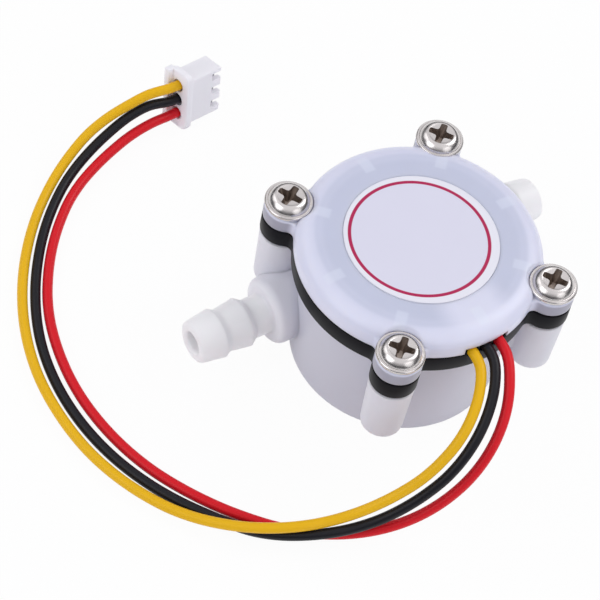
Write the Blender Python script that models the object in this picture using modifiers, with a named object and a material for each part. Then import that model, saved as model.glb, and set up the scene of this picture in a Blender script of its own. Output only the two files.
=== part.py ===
"""Water flow sensor: a small turbine meter with two hose barbs, a black middle plate, a clear-milky
cover held by four screws, and three leads that end in a crimp housing.

Metres, +Z up. The origin is the centre of the underside, +X runs along the two hose barbs, and the
rotor turns about Z through the origin.
"""

import math

import bmesh
import bpy
import numpy as np
from mathutils import Matrix, Vector

MM = 0.001

# Clearances
SEAT_GAP = 0.3 * MM
PRESS_GAP = 0.05 * MM
RUNNING_GAP = 0.06 * MM
SHANK_GAP = 0.35 * MM

# Chamber and wall of the lower housing
CHAMBER_RADIUS = 11.6 * MM
WALL = 3.4 * MM
WALL_DRAFT = math.radians(1.5)
FLOOR = 2.4 * MM
PIVOT_RISE = 1.4 * MM
BASE_CHAMFER = 0.5 * MM

# Hose barbs
BORE_RADIUS = 1.6 * MM
JET_RADIUS = 1.1 * MM
JET_LENGTH = 4.0 * MM
JET_INSET = 1.2 * MM
NECK_WALL = 1.3 * MM
RIDGE_RISE = 0.7 * MM
RIDGE_PITCH = 4.1 * MM
RIDGE_STEP = 0.8 * MM
RIDGE_FOOT = 0.2 * MM
RIDGES = 2
NECK_LENGTH = 2.9 * MM
TIP_LENGTH = 3.8 * MM
TIP_CHAMFER = 0.5 * MM
TIP_DROP = 0.2 * MM
COLLAR_RADIUS = 4.95 * MM
COLLAR_PROUD = 2.4 * MM
COLLAR_ROUND = 1.1 * MM
COLLAR_CLEARANCE = 1.9 * MM

# Rotor
ROTOR_CLEARANCE = 0.9 * MM
ROTOR_HUB_WALL = 1.7 * MM
VANES = 8
VANE_THICKNESS = 1.0 * MM
VANE_SWEEP = math.radians(32)
VANE_FLOAT = 0.2 * MM
ROTOR_DISC = 1.2 * MM
MAGNETS = 4
MAGNET_RADIUS = 1.5 * MM
MAGNET_HEIGHT = 1.8 * MM
MAGNET_FLOOR = 0.6 * MM
MAGNET_WALL = 0.8 * MM
MAGNET_DEPTH = 0.2 * MM
HEADROOM = 1.2 * MM

# Shaft and bushes
SHAFT_RADIUS = 0.75 * MM
BUSH_WALL = 0.9 * MM
BUSH_HEIGHT = 2.0 * MM
BUSH_RIM = 0.2 * MM
BOSS_WALL = 1.2 * MM
UPPER_BOSS = 1.6 * MM

# Seal ring and the spigot of the middle plate
SEAL_CORD_RADIUS = 0.7 * MM
SPIGOT_REACH = 1.0 * MM
WELL_FLOOR = 1.4 * MM
WELL_WALL = 1.0 * MM

# Middle plate, ears and screws
PLATE_THICKNESS = 3.0 * MM
PLATE_OVERHANG = 1.55 * MM
PLATE_EDGE = 0.25 * MM
EAR_RADIUS = 3.3 * MM
EAR_FILLET = 1.0 * MM
EAR_OFFSET = 1.78 * MM
EAR_ANGLE = math.radians(48.2)
BOSS_INSET = 0.1 * MM
BOSS_DRAFT = math.radians(1.5)
BOSS_SOLID = 4.6 * MM
WEB_WIDTH = 3.6 * MM
WEB_DROP = 2.3 * MM
SHANK_RADIUS = 1.15 * MM
SHANK_LENGTH = 11.0 * MM
SHANK_POINT = 1.4 * MM
FLANGE_RADIUS = 3.2 * MM
FLANGE_THICKNESS = 0.5 * MM
HEAD_RADIUS = 2.5 * MM
HEAD_HEIGHT = 1.5 * MM
CROSS_WIDTH = 0.75 * MM
CROSS_SPAN = 2.9 * MM
CROSS_DEPTH = 1.1 * MM
FLANGE_POCKET_GAP = 0.35 * MM

# Cover and label
COVER_LIP = 0.1 * MM
COVER_STEP = 0.06 * MM
COVER_HEIGHT = 3.7 * MM
COVER_WALL = 1.5 * MM
COVER_TOP_WALL = 1.3 * MM
COVER_SHOULDER = 1.9 * MM
COVER_EAR_HEIGHT = 2.2 * MM
RIB_WIDTH = 1.6 * MM
RIB_LENGTH = 3.4 * MM
RIB_HEIGHT = 1.6 * MM
LABEL_RADIUS = 10.78 * MM
LABEL_THICKNESS = 0.2 * MM
LABEL_MARGIN = 0.1 * MM
LABEL_BOND = 0.1 * MM

# Leads
LEAD_RADIUS = 0.75 * MM
LEAD_PITCH = 2.15 * MM
LEAD_CLEARANCE = 0.2 * MM
COMB_SIDE = 0.05 * MM
COMB_DEPTH = 3.0 * MM
LEAD_SAMPLE = 3.6 * MM
LEAD_BEVEL_STEPS = 2

# Circuit board and what is on it
BOARD_CLEARANCE = 1.0 * MM
BOARD_THICKNESS = 1.0 * MM
PAD_INSET = 4.3 * MM
POSTS = 4
POST_RADIUS = 0.9 * MM
POST_INSET = 1.5 * MM
CHIP_SPREAD = 3.6 * MM
CHIP_ROW = 1.6 * MM
SENSOR_SIZE = (4.1 * MM, 3.0 * MM, 1.5 * MM)
SENSOR_LEG = 0.45 * MM
SENSOR_LEG_PITCH = 1.27 * MM
SENSOR_LEG_REACH = 1.3 * MM
RESISTOR_SIZE = (3.2 * MM, 1.6 * MM, 0.6 * MM)
CAPACITOR_SIZE = (2.0 * MM, 1.25 * MM, 0.9 * MM)
CHIP_EDGE = 0.12 * MM

# Crimp housing: its own axes are U towards the mating end, V from the yellow lead to the red one,
# and W across its thickness.
CONTACT_PITCH = 2.5 * MM
CRIMP_BODY = (5.8 * MM, 7.9 * MM, 3.7 * MM)
CRIMP_RIM = (1.1 * MM, 9.9 * MM, 4.5 * MM)
CRIMP_LIP = (0.9 * MM, 1.1 * MM)
CRIMP_EDGE = 0.2 * MM
CAVITY_SIDE = 2.0 * MM
CAVITY_START = 2.4 * MM
LEAD_HOLE_GAP = 0.3 * MM
SLOT_WIDTH = 1.1 * MM
SLOT_LENGTH = 2.0 * MM
CONTACT_SIDE = 1.4 * MM
CONTACT_LENGTH = 3.8 * MM
CONTACT_WALL = 0.25 * MM
LEAD_APPROACH = 0.7 * MM
CRIMP_PLACE = (-7.95 * MM, 48.5 * MM)
CRIMP_STAND = 0.05 * MM
CRIMP_HEADING = math.radians(8.5)
CRIMP_DIP = math.radians(5.5)
CRIMP_LEAN = math.radians(11.0)

# Faces round a full turn
FINE = 56
MEDIUM = 28
COARSE = 16
EAR_FACES = 14

# Routes of the leads from the cover's rim to just before the crimp housing
ROUTES_MM = {
    "wire_yellow": [
        (-3.2, -20.6, 20.2), (-7.8, -25.0, 17.4), (-13.1, -26.3, 12.5), (-18.5, -25.2, 7.5),
        (-24.8, -23.2, 4.2), (-31.8, -20.9, 3.9), (-37.6, -16.6, 2.6), (-42.3, -11.0, 1.4),
        (-45.9, -4.5, 1.2), (-48.1, 2.6, 1.1), (-48.8, 9.9, 1.1), (-48.2, 17.3, 1.0),
        (-46.2, 24.5, 1.0), (-43.0, 31.2, 1.0), (-38.8, 37.3, 1.0), (-33.8, 42.7, 1.0),
        (-27.9, 47.0, 2.2), (-21.4, 49.5, 4.6), (-14.4, 49.6, 7.2),
        (-10.6, 49.2, 8.1),
    ],
    "wire_black": [
        (-0.9, -20.6, 20.4), (-5.1, -25.3, 17.8), (-10.2, -27.6, 13.1), (-15.4, -27.3, 8.0),
        (-21.2, -25.6, 3.8), (-28.0, -23.2, 2.6), (-33.9, -19.0, 1.3), (-38.6, -13.3, 0.95),
        (-42.5, -7.1, 0.9), (-45.3, -0.2, 0.9), (-46.7, 7.0, 0.9), (-46.7, 14.3, 0.9),
        (-45.3, 21.5, 0.9), (-42.5, 28.3, 0.9), (-38.6, 34.6, 0.9), (-33.9, 40.2, 0.9),
        (-28.2, 44.9, 1.5), (-21.8, 47.8, 3.0), (-14.8, 48.9, 5.5),
        (-10.8, 48.7, 5.9),
    ],
    "wire_red": [
        (1.3, -20.6, 20.3), (-2.1, -25.7, 17.4), (-6.6, -28.5, 12.6), (-11.7, -28.8, 7.4),
        (-17.3, -27.2, 3.1), (-23.6, -24.4, 1.15), (-29.7, -20.5, 0.9), (-34.8, -15.3, 0.9),
        (-39.0, -9.3, 0.9), (-42.2, -2.8, 0.9), (-44.1, 4.2, 0.9), (-44.7, 11.5, 0.9),
        (-43.9, 18.7, 0.9), (-41.8, 25.7, 0.9), (-38.3, 32.1, 0.9), (-33.8, 37.8, 0.9),
        (-28.3, 42.6, 1.2), (-22.0, 45.6, 2.0), (-14.8, 47.4, 3.1),
        (-11.1, 47.6, 3.3),
    ],
}
LEAD_NAMES = ("wire_yellow", "wire_black", "wire_red")

# Levels worked out from the sizes above
pivot_top = FLOOR + PIVOT_RISE
bush_radius = SHAFT_RADIUS + BUSH_WALL
boss_radius = bush_radius + BOSS_WALL
hub_bottom = pivot_top + SEAT_GAP
vane_bottom = hub_bottom + VANE_FLOAT
barb_height = COLLAR_RADIUS + COLLAR_CLEARANCE
vane_top = 2 * barb_height - vane_bottom
disc_top = vane_top + ROTOR_DISC
ring_top = disc_top + MAGNET_FLOOR + MAGNET_HEIGHT + MAGNET_DEPTH
spigot_bottom = ring_top + HEADROOM
rebate_floor = spigot_bottom + SPIGOT_REACH
housing_top = rebate_floor + 2 * SEAL_CORD_RADIUS + SEAT_GAP
plate_bottom = housing_top + SEAT_GAP
plate_top = plate_bottom + PLATE_THICKNESS
cover_bottom = plate_top + SEAT_GAP
cover_top = cover_bottom + COVER_HEIGHT
ear_top = cover_bottom + COVER_EAR_HEIGHT
screw_seat = ear_top + SEAT_GAP
upper_boss_bottom = spigot_bottom - UPPER_BOSS
hub_top = upper_boss_bottom - SEAT_GAP
well_floor = spigot_bottom + WELL_FLOOR
sensor_bottom = well_floor + SEAT_GAP
board_bottom = sensor_bottom + SENSOR_SIZE[2] + SEAT_GAP
board_top = board_bottom + BOARD_THICKNESS
screw_tip = screw_seat - SHANK_LENGTH
screw_hole_bottom = screw_tip - SEAT_GAP
boss_bottom = screw_hole_bottom - BOSS_SOLID
comb_top = cover_bottom + LEAD_RADIUS + COMB_SIDE

# Radii and places worked out from the sizes above
base_radius = CHAMBER_RADIUS + WALL
wall_top_radius = base_radius + housing_top * math.tan(WALL_DRAFT)
spigot_radius = CHAMBER_RADIUS - SEAT_GAP
rebate_radius = spigot_radius + 2 * (SEAL_CORD_RADIUS + SEAT_GAP)
well_radius = spigot_radius - WELL_WALL
board_radius = well_radius - BOARD_CLEARANCE
plate_radius = wall_top_radius + PLATE_OVERHANG
cover_radius = plate_radius + COVER_LIP
screw_circle = plate_radius + EAR_OFFSET
shank_hole = SHANK_RADIUS + SHANK_GAP
rotor_radius = CHAMBER_RADIUS - ROTOR_CLEARANCE
hub_radius = SHAFT_RADIUS + PRESS_GAP + ROTOR_HUB_WALL
magnet_circle = boss_radius + ROTOR_CLEARANCE + MAGNET_WALL + MAGNET_RADIUS
ring_inner = magnet_circle - MAGNET_RADIUS - MAGNET_WALL
ring_outer = magnet_circle + MAGNET_RADIUS + MAGNET_WALL
neck_radius = BORE_RADIUS + NECK_WALL
ridge_radius = neck_radius + RIDGE_RISE
barb_offset = CHAMBER_RADIUS - BORE_RADIUS - JET_INSET
collar_face = base_radius + COLLAR_PROUD
barb_tip = collar_face + NECK_LENGTH + (RIDGES - 1) * RIDGE_PITCH + RIDGE_STEP + TIP_LENGTH
comb_half = LEAD_PITCH + LEAD_RADIUS + LEAD_CLEARANCE + COMB_SIDE
SCREW_PLACES = [
    (sx * screw_circle * math.cos(EAR_ANGLE), sy * screw_circle * math.sin(EAR_ANGLE))
    for sx, sy in ((-1, -1), (1, -1), (1, 1), (-1, 1))
]
LEAD_OFFSETS = (-LEAD_PITCH, 0.0, LEAD_PITCH)


def clear_scene():
    for obj in list(bpy.data.objects):
        bpy.data.objects.remove(obj, do_unlink=True)


def collection(name):
    home = bpy.data.collections.new(name)
    bpy.context.scene.collection.children.link(home)
    return home


def material(name, colour, roughness, metallic=0.0, alpha=1.0):
    made = bpy.data.materials.new(name)
    made.use_nodes = True
    shader = made.node_tree.nodes["Principled BSDF"]
    shader.inputs["Base Color"].default_value = (*colour, 1.0)
    shader.inputs["Roughness"].default_value = roughness
    shader.inputs["Metallic"].default_value = metallic
    shader.inputs["Alpha"].default_value = alpha
    made.diffuse_color = (*colour, alpha)
    return made


def place(name, mesh, home):
    obj = bpy.data.objects.new(name, mesh)
    home.objects.link(obj)
    if home is CUTTERS:
        obj.hide_render = True
        obj.display_type = "WIRE"
    return obj


def finish(obj, surface, round_piece=True):
    """Gives the piece its material, and smooth shading with sharp edges where it is round."""
    obj.data.materials.clear()
    obj.data.materials.append(surface)
    if round_piece:
        obj.data.shade_smooth()
        obj.data.set_sharp_from_angle(angle=math.radians(35))
    return obj


def arc(centre, radius, start, end, steps):
    """Points of an arc in a profile's plane, from one angle to the other, both ends included."""
    angles = np.linspace(start, end, steps + 1)
    return [(centre[0] + radius * math.cos(a), centre[1] + radius * math.sin(a)) for a in angles]


def turned(name, profile, home, segments=FINE, closed=False):
    """A profile of (radius, height) points, outer side downwards, turned about Z."""
    points = [(r, 0.0, z) for r, z in profile]
    edges = [(i, i + 1) for i in range(len(points) - 1)]
    if closed:
        edges.append((len(points) - 1, 0))
    mesh = bpy.data.meshes.new(name)
    mesh.from_pydata(points, edges, [])
    obj = place(name, mesh, home)
    screw = obj.modifiers.new("Turn", "SCREW")
    screw.steps = segments
    screw.render_steps = segments
    screw.use_merge_vertices = True
    screw.merge_threshold = 1e-6
    return obj


def as_mesh(obj, name, home):
    """Makes a curve or a modified object a plain mesh object in the same place."""
    bpy.context.view_layer.update()
    graph = bpy.context.evaluated_depsgraph_get()
    mesh = bpy.data.meshes.new_from_object(obj.evaluated_get(graph))
    shape = bmesh.new()
    shape.from_mesh(mesh)
    bmesh.ops.remove_doubles(shape, verts=shape.verts, dist=1e-7)
    bmesh.ops.recalc_face_normals(shape, faces=shape.faces)
    shape.to_mesh(mesh)
    shape.free()
    matrix = obj.matrix_world.copy()
    bpy.data.objects.remove(obj, do_unlink=True)
    solid = place(name, mesh, home)
    solid.matrix_world = matrix
    return solid


def prism(name, outline, low, high, home, edge=0.0):
    """A flat outline of (x, y) points raised from one height to another, its edges chamfered."""
    curve = bpy.data.curves.new(name, "CURVE")
    curve.dimensions = "2D"
    curve.fill_mode = "BOTH"
    curve.extrude = (high - low) / 2 - edge
    if edge:
        curve.bevel_depth = edge
        curve.bevel_resolution = 0
        curve.offset = -edge
    spline = curve.splines.new("POLY")
    spline.points.add(len(outline) - 1)
    for point, (x, y) in zip(spline.points, outline):
        point.co = (x, y, 0.0, 1.0)
    spline.use_cyclic_u = True
    obj = place(name + "_outline", curve, home)
    obj.location.z = (low + high) / 2
    return as_mesh(obj, name, home)


def cylinder(name, radius, low, high, home, at=(0.0, 0.0), segments=MEDIUM, low_radius=None):
    """An upright cylinder, or a cone where its low radius differs."""
    shape = bmesh.new()
    bmesh.ops.create_cone(
        shape,
        cap_ends=True,
        segments=segments,
        radius1=radius if low_radius is None else low_radius,
        radius2=radius,
        depth=high - low,
    )
    mesh = bpy.data.meshes.new(name)
    shape.to_mesh(mesh)
    shape.free()
    obj = place(name, mesh, home)
    obj.location = (*at, (low + high) / 2)
    return obj


def box(name, low, high, home, edge=0.0):
    """A box between two corners, with its edges bevelled where an edge is given."""
    low, high = Vector(low), Vector(high)
    shape = bmesh.new()
    bmesh.ops.create_cube(shape, size=1.0)
    bmesh.ops.scale(shape, vec=high - low, verts=shape.verts)
    bmesh.ops.translate(shape, vec=(low + high) / 2, verts=shape.verts)
    mesh = bpy.data.meshes.new(name)
    shape.to_mesh(mesh)
    shape.free()
    obj = place(name, mesh, home)
    if edge:
        bevel = obj.modifiers.new("Edges", "BEVEL")
        bevel.width = edge
        bevel.segments = 1
    return obj


def boolean(obj, tool, operation):
    change = obj.modifiers.new(f"{operation.title()} {tool.name}"[:60], "BOOLEAN")
    change.operation = operation
    change.solver = "EXACT"
    change.object = tool


def join(obj, *tools):
    for tool in tools:
        boolean(obj, tool, "UNION")


def cut(obj, *tools):
    for tool in tools:
        boolean(obj, tool, "DIFFERENCE")


def spoke(name, low, high, heading):
    """A box between two corners, given as if along +X, turned about Z to a heading."""
    tool = box(name, low, high, CUTTERS)
    tool.matrix_world = Matrix.Rotation(heading, 4, "Z")
    return tool


def eared_outline(radius):
    """A circle with a round ear about each screw, joined to it by hollow fillets, anticlockwise."""
    rim, ear = radius + EAR_FILLET, EAR_RADIUS + EAR_FILLET
    swing = math.acos((rim**2 + screw_circle**2 - ear**2) / (2 * rim * screw_circle))
    corner = (rim * math.cos(swing), rim * math.sin(swing))
    tilt = math.atan2(corner[1], screw_circle - corner[0])
    single = arc((corner[0], -corner[1]), EAR_FILLET, math.pi - swing, tilt, EAR_FACES // 3)
    single += arc((screw_circle, 0.0), EAR_RADIUS, tilt - math.pi, math.pi - tilt, EAR_FACES)[1:]
    single += arc(corner, EAR_FILLET, -tilt, swing - math.pi, EAR_FACES // 3)[1:]
    headings = sorted(math.atan2(y, x) for x, y in SCREW_PLACES)
    points = []
    for heading, following in zip(headings, headings[1:] + [headings[0] + 2 * math.pi]):
        c, s = math.cos(heading), math.sin(heading)
        points += [(x * c - y * s, x * s + y * c) for x, y in single]
        start, end = heading + swing, following - swing
        steps = max(2, round(FINE * (end - start) / (2 * math.pi)))
        points += arc((0.0, 0.0), radius, start, end, steps)[1:-1]
    return points


def barb_profile():
    """Outer line of a hose barb as (distance from the chamber axis, radius), from the tip inwards."""
    points = [(barb_tip, neck_radius - TIP_DROP), (barb_tip - TIP_CHAMFER, neck_radius + RIDGE_FOOT)]
    crest = barb_tip - TIP_LENGTH
    for ridge in range(RIDGES):
        last = ridge == RIDGES - 1
        points.append((crest, ridge_radius))
        points.append((crest - RIDGE_STEP, neck_radius if last else neck_radius + RIDGE_FOOT))
        crest -= RIDGE_PITCH
    points.append((collar_face, neck_radius))
    middle = (collar_face - COLLAR_ROUND, COLLAR_RADIUS - COLLAR_ROUND)
    points += arc(middle, COLLAR_ROUND, 0.0, math.pi / 2, 4)
    return points


def make_barb(name, side):
    """A barb and its collar, turned about the bore's axis, with its root inside the chamber wall."""
    root = boss_radius
    profile = [(0.0, barb_tip)] + [(r, x) for x, r in barb_profile()]
    profile += [(COLLAR_RADIUS, root), (0.0, root)]
    obj = turned(name, profile, CUTTERS, MEDIUM)
    turn = Matrix.Rotation(side * math.pi / 2, 4, "Y")
    obj.matrix_world = Matrix.Translation((0.0, barb_offset, barb_height)) @ turn
    return obj


def bore_cutter(name, radius, start, end, segments=COARSE):
    """A round cutter along the barbs' axis between two places on X."""
    length = abs(end - start)
    obj = cylinder(name, radius, 0.0, length, CUTTERS, segments=segments)
    turn = Matrix.Rotation(math.pi / 2, 4, "Y")
    obj.matrix_world = Matrix.Translation(((start + end) / 2, barb_offset, barb_height)) @ turn
    return obj


def make_lower_housing():
    top = housing_top
    profile = [
        (0.0, top),
        (wall_top_radius, top),
        (base_radius + BASE_CHAMFER * math.tan(WALL_DRAFT), BASE_CHAMFER),
        (base_radius - BASE_CHAMFER, 0.0),
        (0.0, 0.0),
    ]
    body = turned("lower_housing", profile, PARTS)
    for index, spot in enumerate(SCREW_PLACES):
        radius = EAR_RADIUS - BOSS_INSET
        narrow = radius - (top - boss_bottom) * math.tan(BOSS_DRAFT)
        boss = cylinder(f"boss_{index}", radius, boss_bottom, top, CUTTERS, spot, MEDIUM, narrow)
        web = spoke(
            f"boss_web_{index}",
            (rebate_radius, -WEB_WIDTH / 2, boss_bottom + WEB_DROP),
            (screw_circle, WEB_WIDTH / 2, top),
            math.atan2(spot[1], spot[0]),
        )
        join(body, boss, web)
    join(body, make_barb("barb_inlet", -1), make_barb("barb_outlet", 1))
    pocket_bottom = pivot_top - BUSH_HEIGHT - PRESS_GAP
    hollow = [
        (0.0, top + SEAT_GAP),
        (rebate_radius, top + SEAT_GAP),
        (rebate_radius, rebate_floor),
        (CHAMBER_RADIUS, rebate_floor),
        (CHAMBER_RADIUS, FLOOR),
        (boss_radius, FLOOR),
        (boss_radius, pivot_top),
        (bush_radius + PRESS_GAP, pivot_top),
        (bush_radius + PRESS_GAP, pocket_bottom),
        (0.0, pocket_bottom),
    ]
    cut(body, turned("chamber", hollow, CUTTERS))
    jet_end = -math.sqrt(CHAMBER_RADIUS**2 - (barb_offset - BORE_RADIUS) ** 2) - JET_LENGTH
    cut(
        body,
        bore_cutter("inlet_bore", BORE_RADIUS, -barb_tip - SEAT_GAP, jet_end),
        bore_cutter("inlet_jet", JET_RADIUS, jet_end - SEAT_GAP, -boss_radius),
        bore_cutter("outlet_bore", BORE_RADIUS, barb_tip + SEAT_GAP, boss_radius),
    )
    for index, spot in enumerate(SCREW_PLACES):
        cut(body, cylinder(f"boss_hole_{index}", shank_hole, screw_hole_bottom, top + SEAT_GAP, CUTTERS, spot, COARSE))
    return finish(body, WHITE_PLASTIC)


def lead_channel(name, offset, radius, top):
    """A U-shaped cutter across the plate's rim, with its round bottom about a lead's centre."""
    length = plate_radius + SEAT_GAP
    tube = cylinder(name, radius, 0.0, length, CUTTERS, segments=COARSE)
    tube.matrix_world = Matrix.Translation((offset, -length / 2, cover_bottom)) @ Matrix.Rotation(
        math.pi / 2, 4, "X"
    )
    low = (offset - radius, -length, cover_bottom)
    high = (offset + radius, 0.0, top)
    return tube, box(name + "_top", low, high, CUTTERS)


def make_middle_plate():
    plate = prism("middle_plate", eared_outline(plate_radius), plate_bottom, plate_top, PARTS, PLATE_EDGE)
    middle = (plate_bottom + plate_top) / 2
    profile = [
        (0.0, middle),
        (spigot_radius, middle),
        (spigot_radius, spigot_bottom),
        (boss_radius, spigot_bottom),
        (boss_radius, upper_boss_bottom),
        (0.0, upper_boss_bottom),
    ]
    join(plate, turned("spigot", profile, CUTTERS))
    comb_back = plate_radius - COMB_DEPTH
    comb = box(
        "comb",
        (-comb_half, -math.sqrt(plate_radius**2 - comb_half**2), plate_top - PLATE_THICKNESS / 2),
        (comb_half, -comb_back, comb_top),
        CUTTERS,
    )
    join(plate, comb)
    well = [(0.0, cover_top), (well_radius, cover_top), (well_radius, well_floor), (0.0, well_floor)]
    cut(plate, turned("well", well, CUTTERS))
    for index in range(POSTS):
        turn = (index + 0.5) * 2 * math.pi / POSTS
        reach = board_radius - POST_INSET
        spot = (reach * math.cos(turn), reach * math.sin(turn))
        top = board_bottom - SEAT_GAP
        join(plate, cylinder(f"post_{index}", POST_RADIUS, well_floor - SEAT_GAP, top, CUTTERS, spot, COARSE))
    socket = bush_radius + PRESS_GAP
    low, high = upper_boss_bottom - SEAT_GAP, upper_boss_bottom + BUSH_HEIGHT + PRESS_GAP
    cut(plate, cylinder("upper_socket", socket, low, high, CUTTERS))
    for index, offset in enumerate(LEAD_OFFSETS):
        radius = LEAD_RADIUS + LEAD_CLEARANCE
        cut(plate, *lead_channel(f"channel_{index}", offset, radius, cover_top))
    for index, spot in enumerate(SCREW_PLACES):
        low, high = plate_bottom - SEAT_GAP, plate_top + SEAT_GAP
        cut(plate, cylinder(f"plate_hole_{index}", shank_hole, low, high, CUTTERS, spot, COARSE))
    return finish(plate, BLACK_PLASTIC)


def make_top_cover():
    cover = prism("top_cover", eared_outline(cover_radius), cover_bottom, ear_top, PARTS)
    round_radius = COVER_SHOULDER - COVER_STEP
    shoulder = (cover_radius - COVER_SHOULDER, cover_top - round_radius)
    recess = LABEL_RADIUS + LABEL_MARGIN
    recess_floor = cover_top - LABEL_THICKNESS - LABEL_BOND
    middle = cover_bottom + COVER_EAR_HEIGHT / 2
    profile = [(0.0, recess_floor), (recess, recess_floor), (recess, cover_top)]
    profile += arc(shoulder, round_radius, math.pi / 2, 0.0, 6)
    profile += [(cover_radius - COVER_STEP, middle), (0.0, middle)]
    dome = turned("cover_dome", profile, CUTTERS)
    pocket = FLANGE_RADIUS + FLANGE_POCKET_GAP
    for index, spot in enumerate(SCREW_PLACES):
        low, high = cover_bottom, cover_top + SEAT_GAP
        cut(dome, cylinder(f"flange_pocket_{index}", pocket, low, high, CUTTERS, spot, MEDIUM))
    join(cover, dome)
    inner = cover_radius - COVER_WALL
    roof = cover_top - COVER_TOP_WALL
    hollow = [
        (0.0, roof),
        (inner - COVER_SHOULDER / 2, roof),
        (inner, roof - COVER_SHOULDER / 2),
        (inner, cover_bottom - SEAT_GAP),
        (0.0, cover_bottom - SEAT_GAP),
    ]
    cut(cover, turned("cover_hollow", hollow, CUTTERS))
    for index, spot in enumerate(SCREW_PLACES):
        rib = spoke(
            f"rib_{index}",
            (inner - RIB_LENGTH, -RIB_WIDTH / 2, roof - RIB_HEIGHT),
            (inner + COVER_WALL / 3, RIB_WIDTH / 2, roof + COVER_TOP_WALL / 3),
            math.atan2(spot[1], spot[0]),
        )
        relief = pocket + PRESS_GAP
        low, high = ear_top - SEAT_GAP / 2, cover_top + SEAT_GAP
        cut(rib, cylinder(f"rib_relief_{index}", relief, low, high, CUTTERS, spot, MEDIUM))
        join(cover, rib)
    for index, spot in enumerate(SCREW_PLACES):
        low, high = cover_bottom - SEAT_GAP, ear_top + SEAT_GAP
        cut(cover, cylinder(f"cover_hole_{index}", shank_hole, low, high, CUTTERS, spot, COARSE))
    half = comb_half + SEAT_GAP
    notch = box(
        "lead_notch",
        (-half, -cover_radius - SEAT_GAP, cover_bottom - SEAT_GAP),
        (half, -(plate_radius - COMB_DEPTH - SEAT_GAP), comb_top + SEAT_GAP),
        CUTTERS,
    )
    cut(cover, notch)
    return finish(cover, MILKY_PLASTIC)


def make_label():
    low = cover_top - LABEL_THICKNESS
    profile = [(0.0, cover_top), (LABEL_RADIUS, cover_top), (LABEL_RADIUS, low), (0.0, low)]
    return finish(turned("label", profile, PARTS), LABEL_FILM)


def make_screw(name, spot):
    """A cross-recessed screw with a washer flange under a domed head."""
    seat = screw_seat
    flange_top = seat + FLANGE_THICKNESS
    rise = HEAD_HEIGHT - FLANGE_THICKNESS / 2
    dome = [
        (HEAD_RADIUS * math.cos(a), flange_top + rise * math.sin(a))
        for a in np.radians((78, 58, 40, 22, 0))
    ]
    profile = [(0.0, dome[0][1])] + dome
    profile += [
        (FLANGE_RADIUS - 0.25 * FLANGE_THICKNESS, flange_top),
        (FLANGE_RADIUS, flange_top - 0.3 * FLANGE_THICKNESS),
        (FLANGE_RADIUS, seat),
        (SHANK_RADIUS, seat),
        (SHANK_RADIUS, screw_tip + SHANK_POINT),
        (0.0, screw_tip),
    ]
    screw = turned(name, profile, PARTS, COARSE)
    top = dome[0][1]
    for index, (across, along) in enumerate(((CROSS_WIDTH, CROSS_SPAN), (CROSS_SPAN, CROSS_WIDTH))):
        blade = box(
            f"{name}_blade_{index}",
            (-across / 2, -along / 2, top - CROSS_DEPTH),
            (across / 2, along / 2, top + SEAT_GAP),
            CUTTERS,
        )
        cut(screw, blade)
        blade.location = (*spot, 0.0)
    screw.location = (*spot, 0.0)
    return finish(screw, SCREW_STEEL)


def make_seal_ring():
    middle = ((spigot_radius + rebate_radius) / 2, rebate_floor + SEAT_GAP + SEAL_CORD_RADIUS)
    circle = arc(middle, SEAL_CORD_RADIUS, math.pi / 2, -1.5 * math.pi, 8)[:-1]
    return finish(turned("seal_ring", circle, PARTS, FINE, closed=True), BLACK_RUBBER)


def vane_outline(heading):
    """Outline of one swept vane, seen from above, from inside the hub to the rotor's rim."""
    steps = 6
    start, end = 0.6 * hub_radius, rotor_radius
    line = []
    for step in range(steps + 1):
        share = step / steps
        radius = start + share * (end - start)
        turn = heading + VANE_SWEEP * share**1.6
        line.append(Vector((radius * math.cos(turn), radius * math.sin(turn))))
    left, right = [], []
    for step, point in enumerate(line):
        ahead = line[min(step + 1, steps)] - line[max(step - 1, 0)]
        across = Vector((-ahead.y, ahead.x)).normalized() * VANE_THICKNESS / 2
        left.append(point + across)
        right.append(point - across)
    return [(p.x, p.y) for p in right + left[::-1]]


def make_rotor():
    profile = [
        (0.0, hub_top),
        (hub_radius, hub_top),
        (hub_radius, disc_top),
        (ring_inner, disc_top),
        (ring_inner, ring_top),
        (ring_outer, ring_top),
        (ring_outer, disc_top),
        (rotor_radius, disc_top),
        (rotor_radius, vane_top),
        (hub_radius, vane_top),
        (hub_radius, hub_bottom),
        (0.0, hub_bottom),
    ]
    rotor = turned("rotor", profile, PARTS)
    overlap = ROTOR_DISC / 3
    for index in range(VANES):
        outline = vane_outline(index * 2 * math.pi / VANES)
        join(rotor, prism(f"vane_{index}", outline, vane_bottom, vane_top + overlap, CUTTERS))
    bore = SHAFT_RADIUS + PRESS_GAP
    cut(rotor, cylinder("rotor_bore", bore, hub_bottom - SEAT_GAP, hub_top + SEAT_GAP, CUTTERS, segments=COARSE))
    for index, spot in enumerate(magnet_places()):
        low = disc_top + MAGNET_FLOOR - PRESS_GAP
        radius = MAGNET_RADIUS + PRESS_GAP
        cut(rotor, cylinder(f"magnet_pocket_{index}", radius, low, ring_top + SEAT_GAP, CUTTERS, spot, COARSE))
    return finish(rotor, ROTOR_PLASTIC)


def magnet_places():
    turns = [(i + 0.5) * 2 * math.pi / MAGNETS for i in range(MAGNETS)]
    return [(magnet_circle * math.cos(a), magnet_circle * math.sin(a)) for a in turns]


def make_magnet(name, spot):
    low = disc_top + MAGNET_FLOOR
    magnet = cylinder(name, MAGNET_RADIUS, low, low + MAGNET_HEIGHT, PARTS, spot, COARSE)
    return finish(magnet, MAGNET_IRON)


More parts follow.
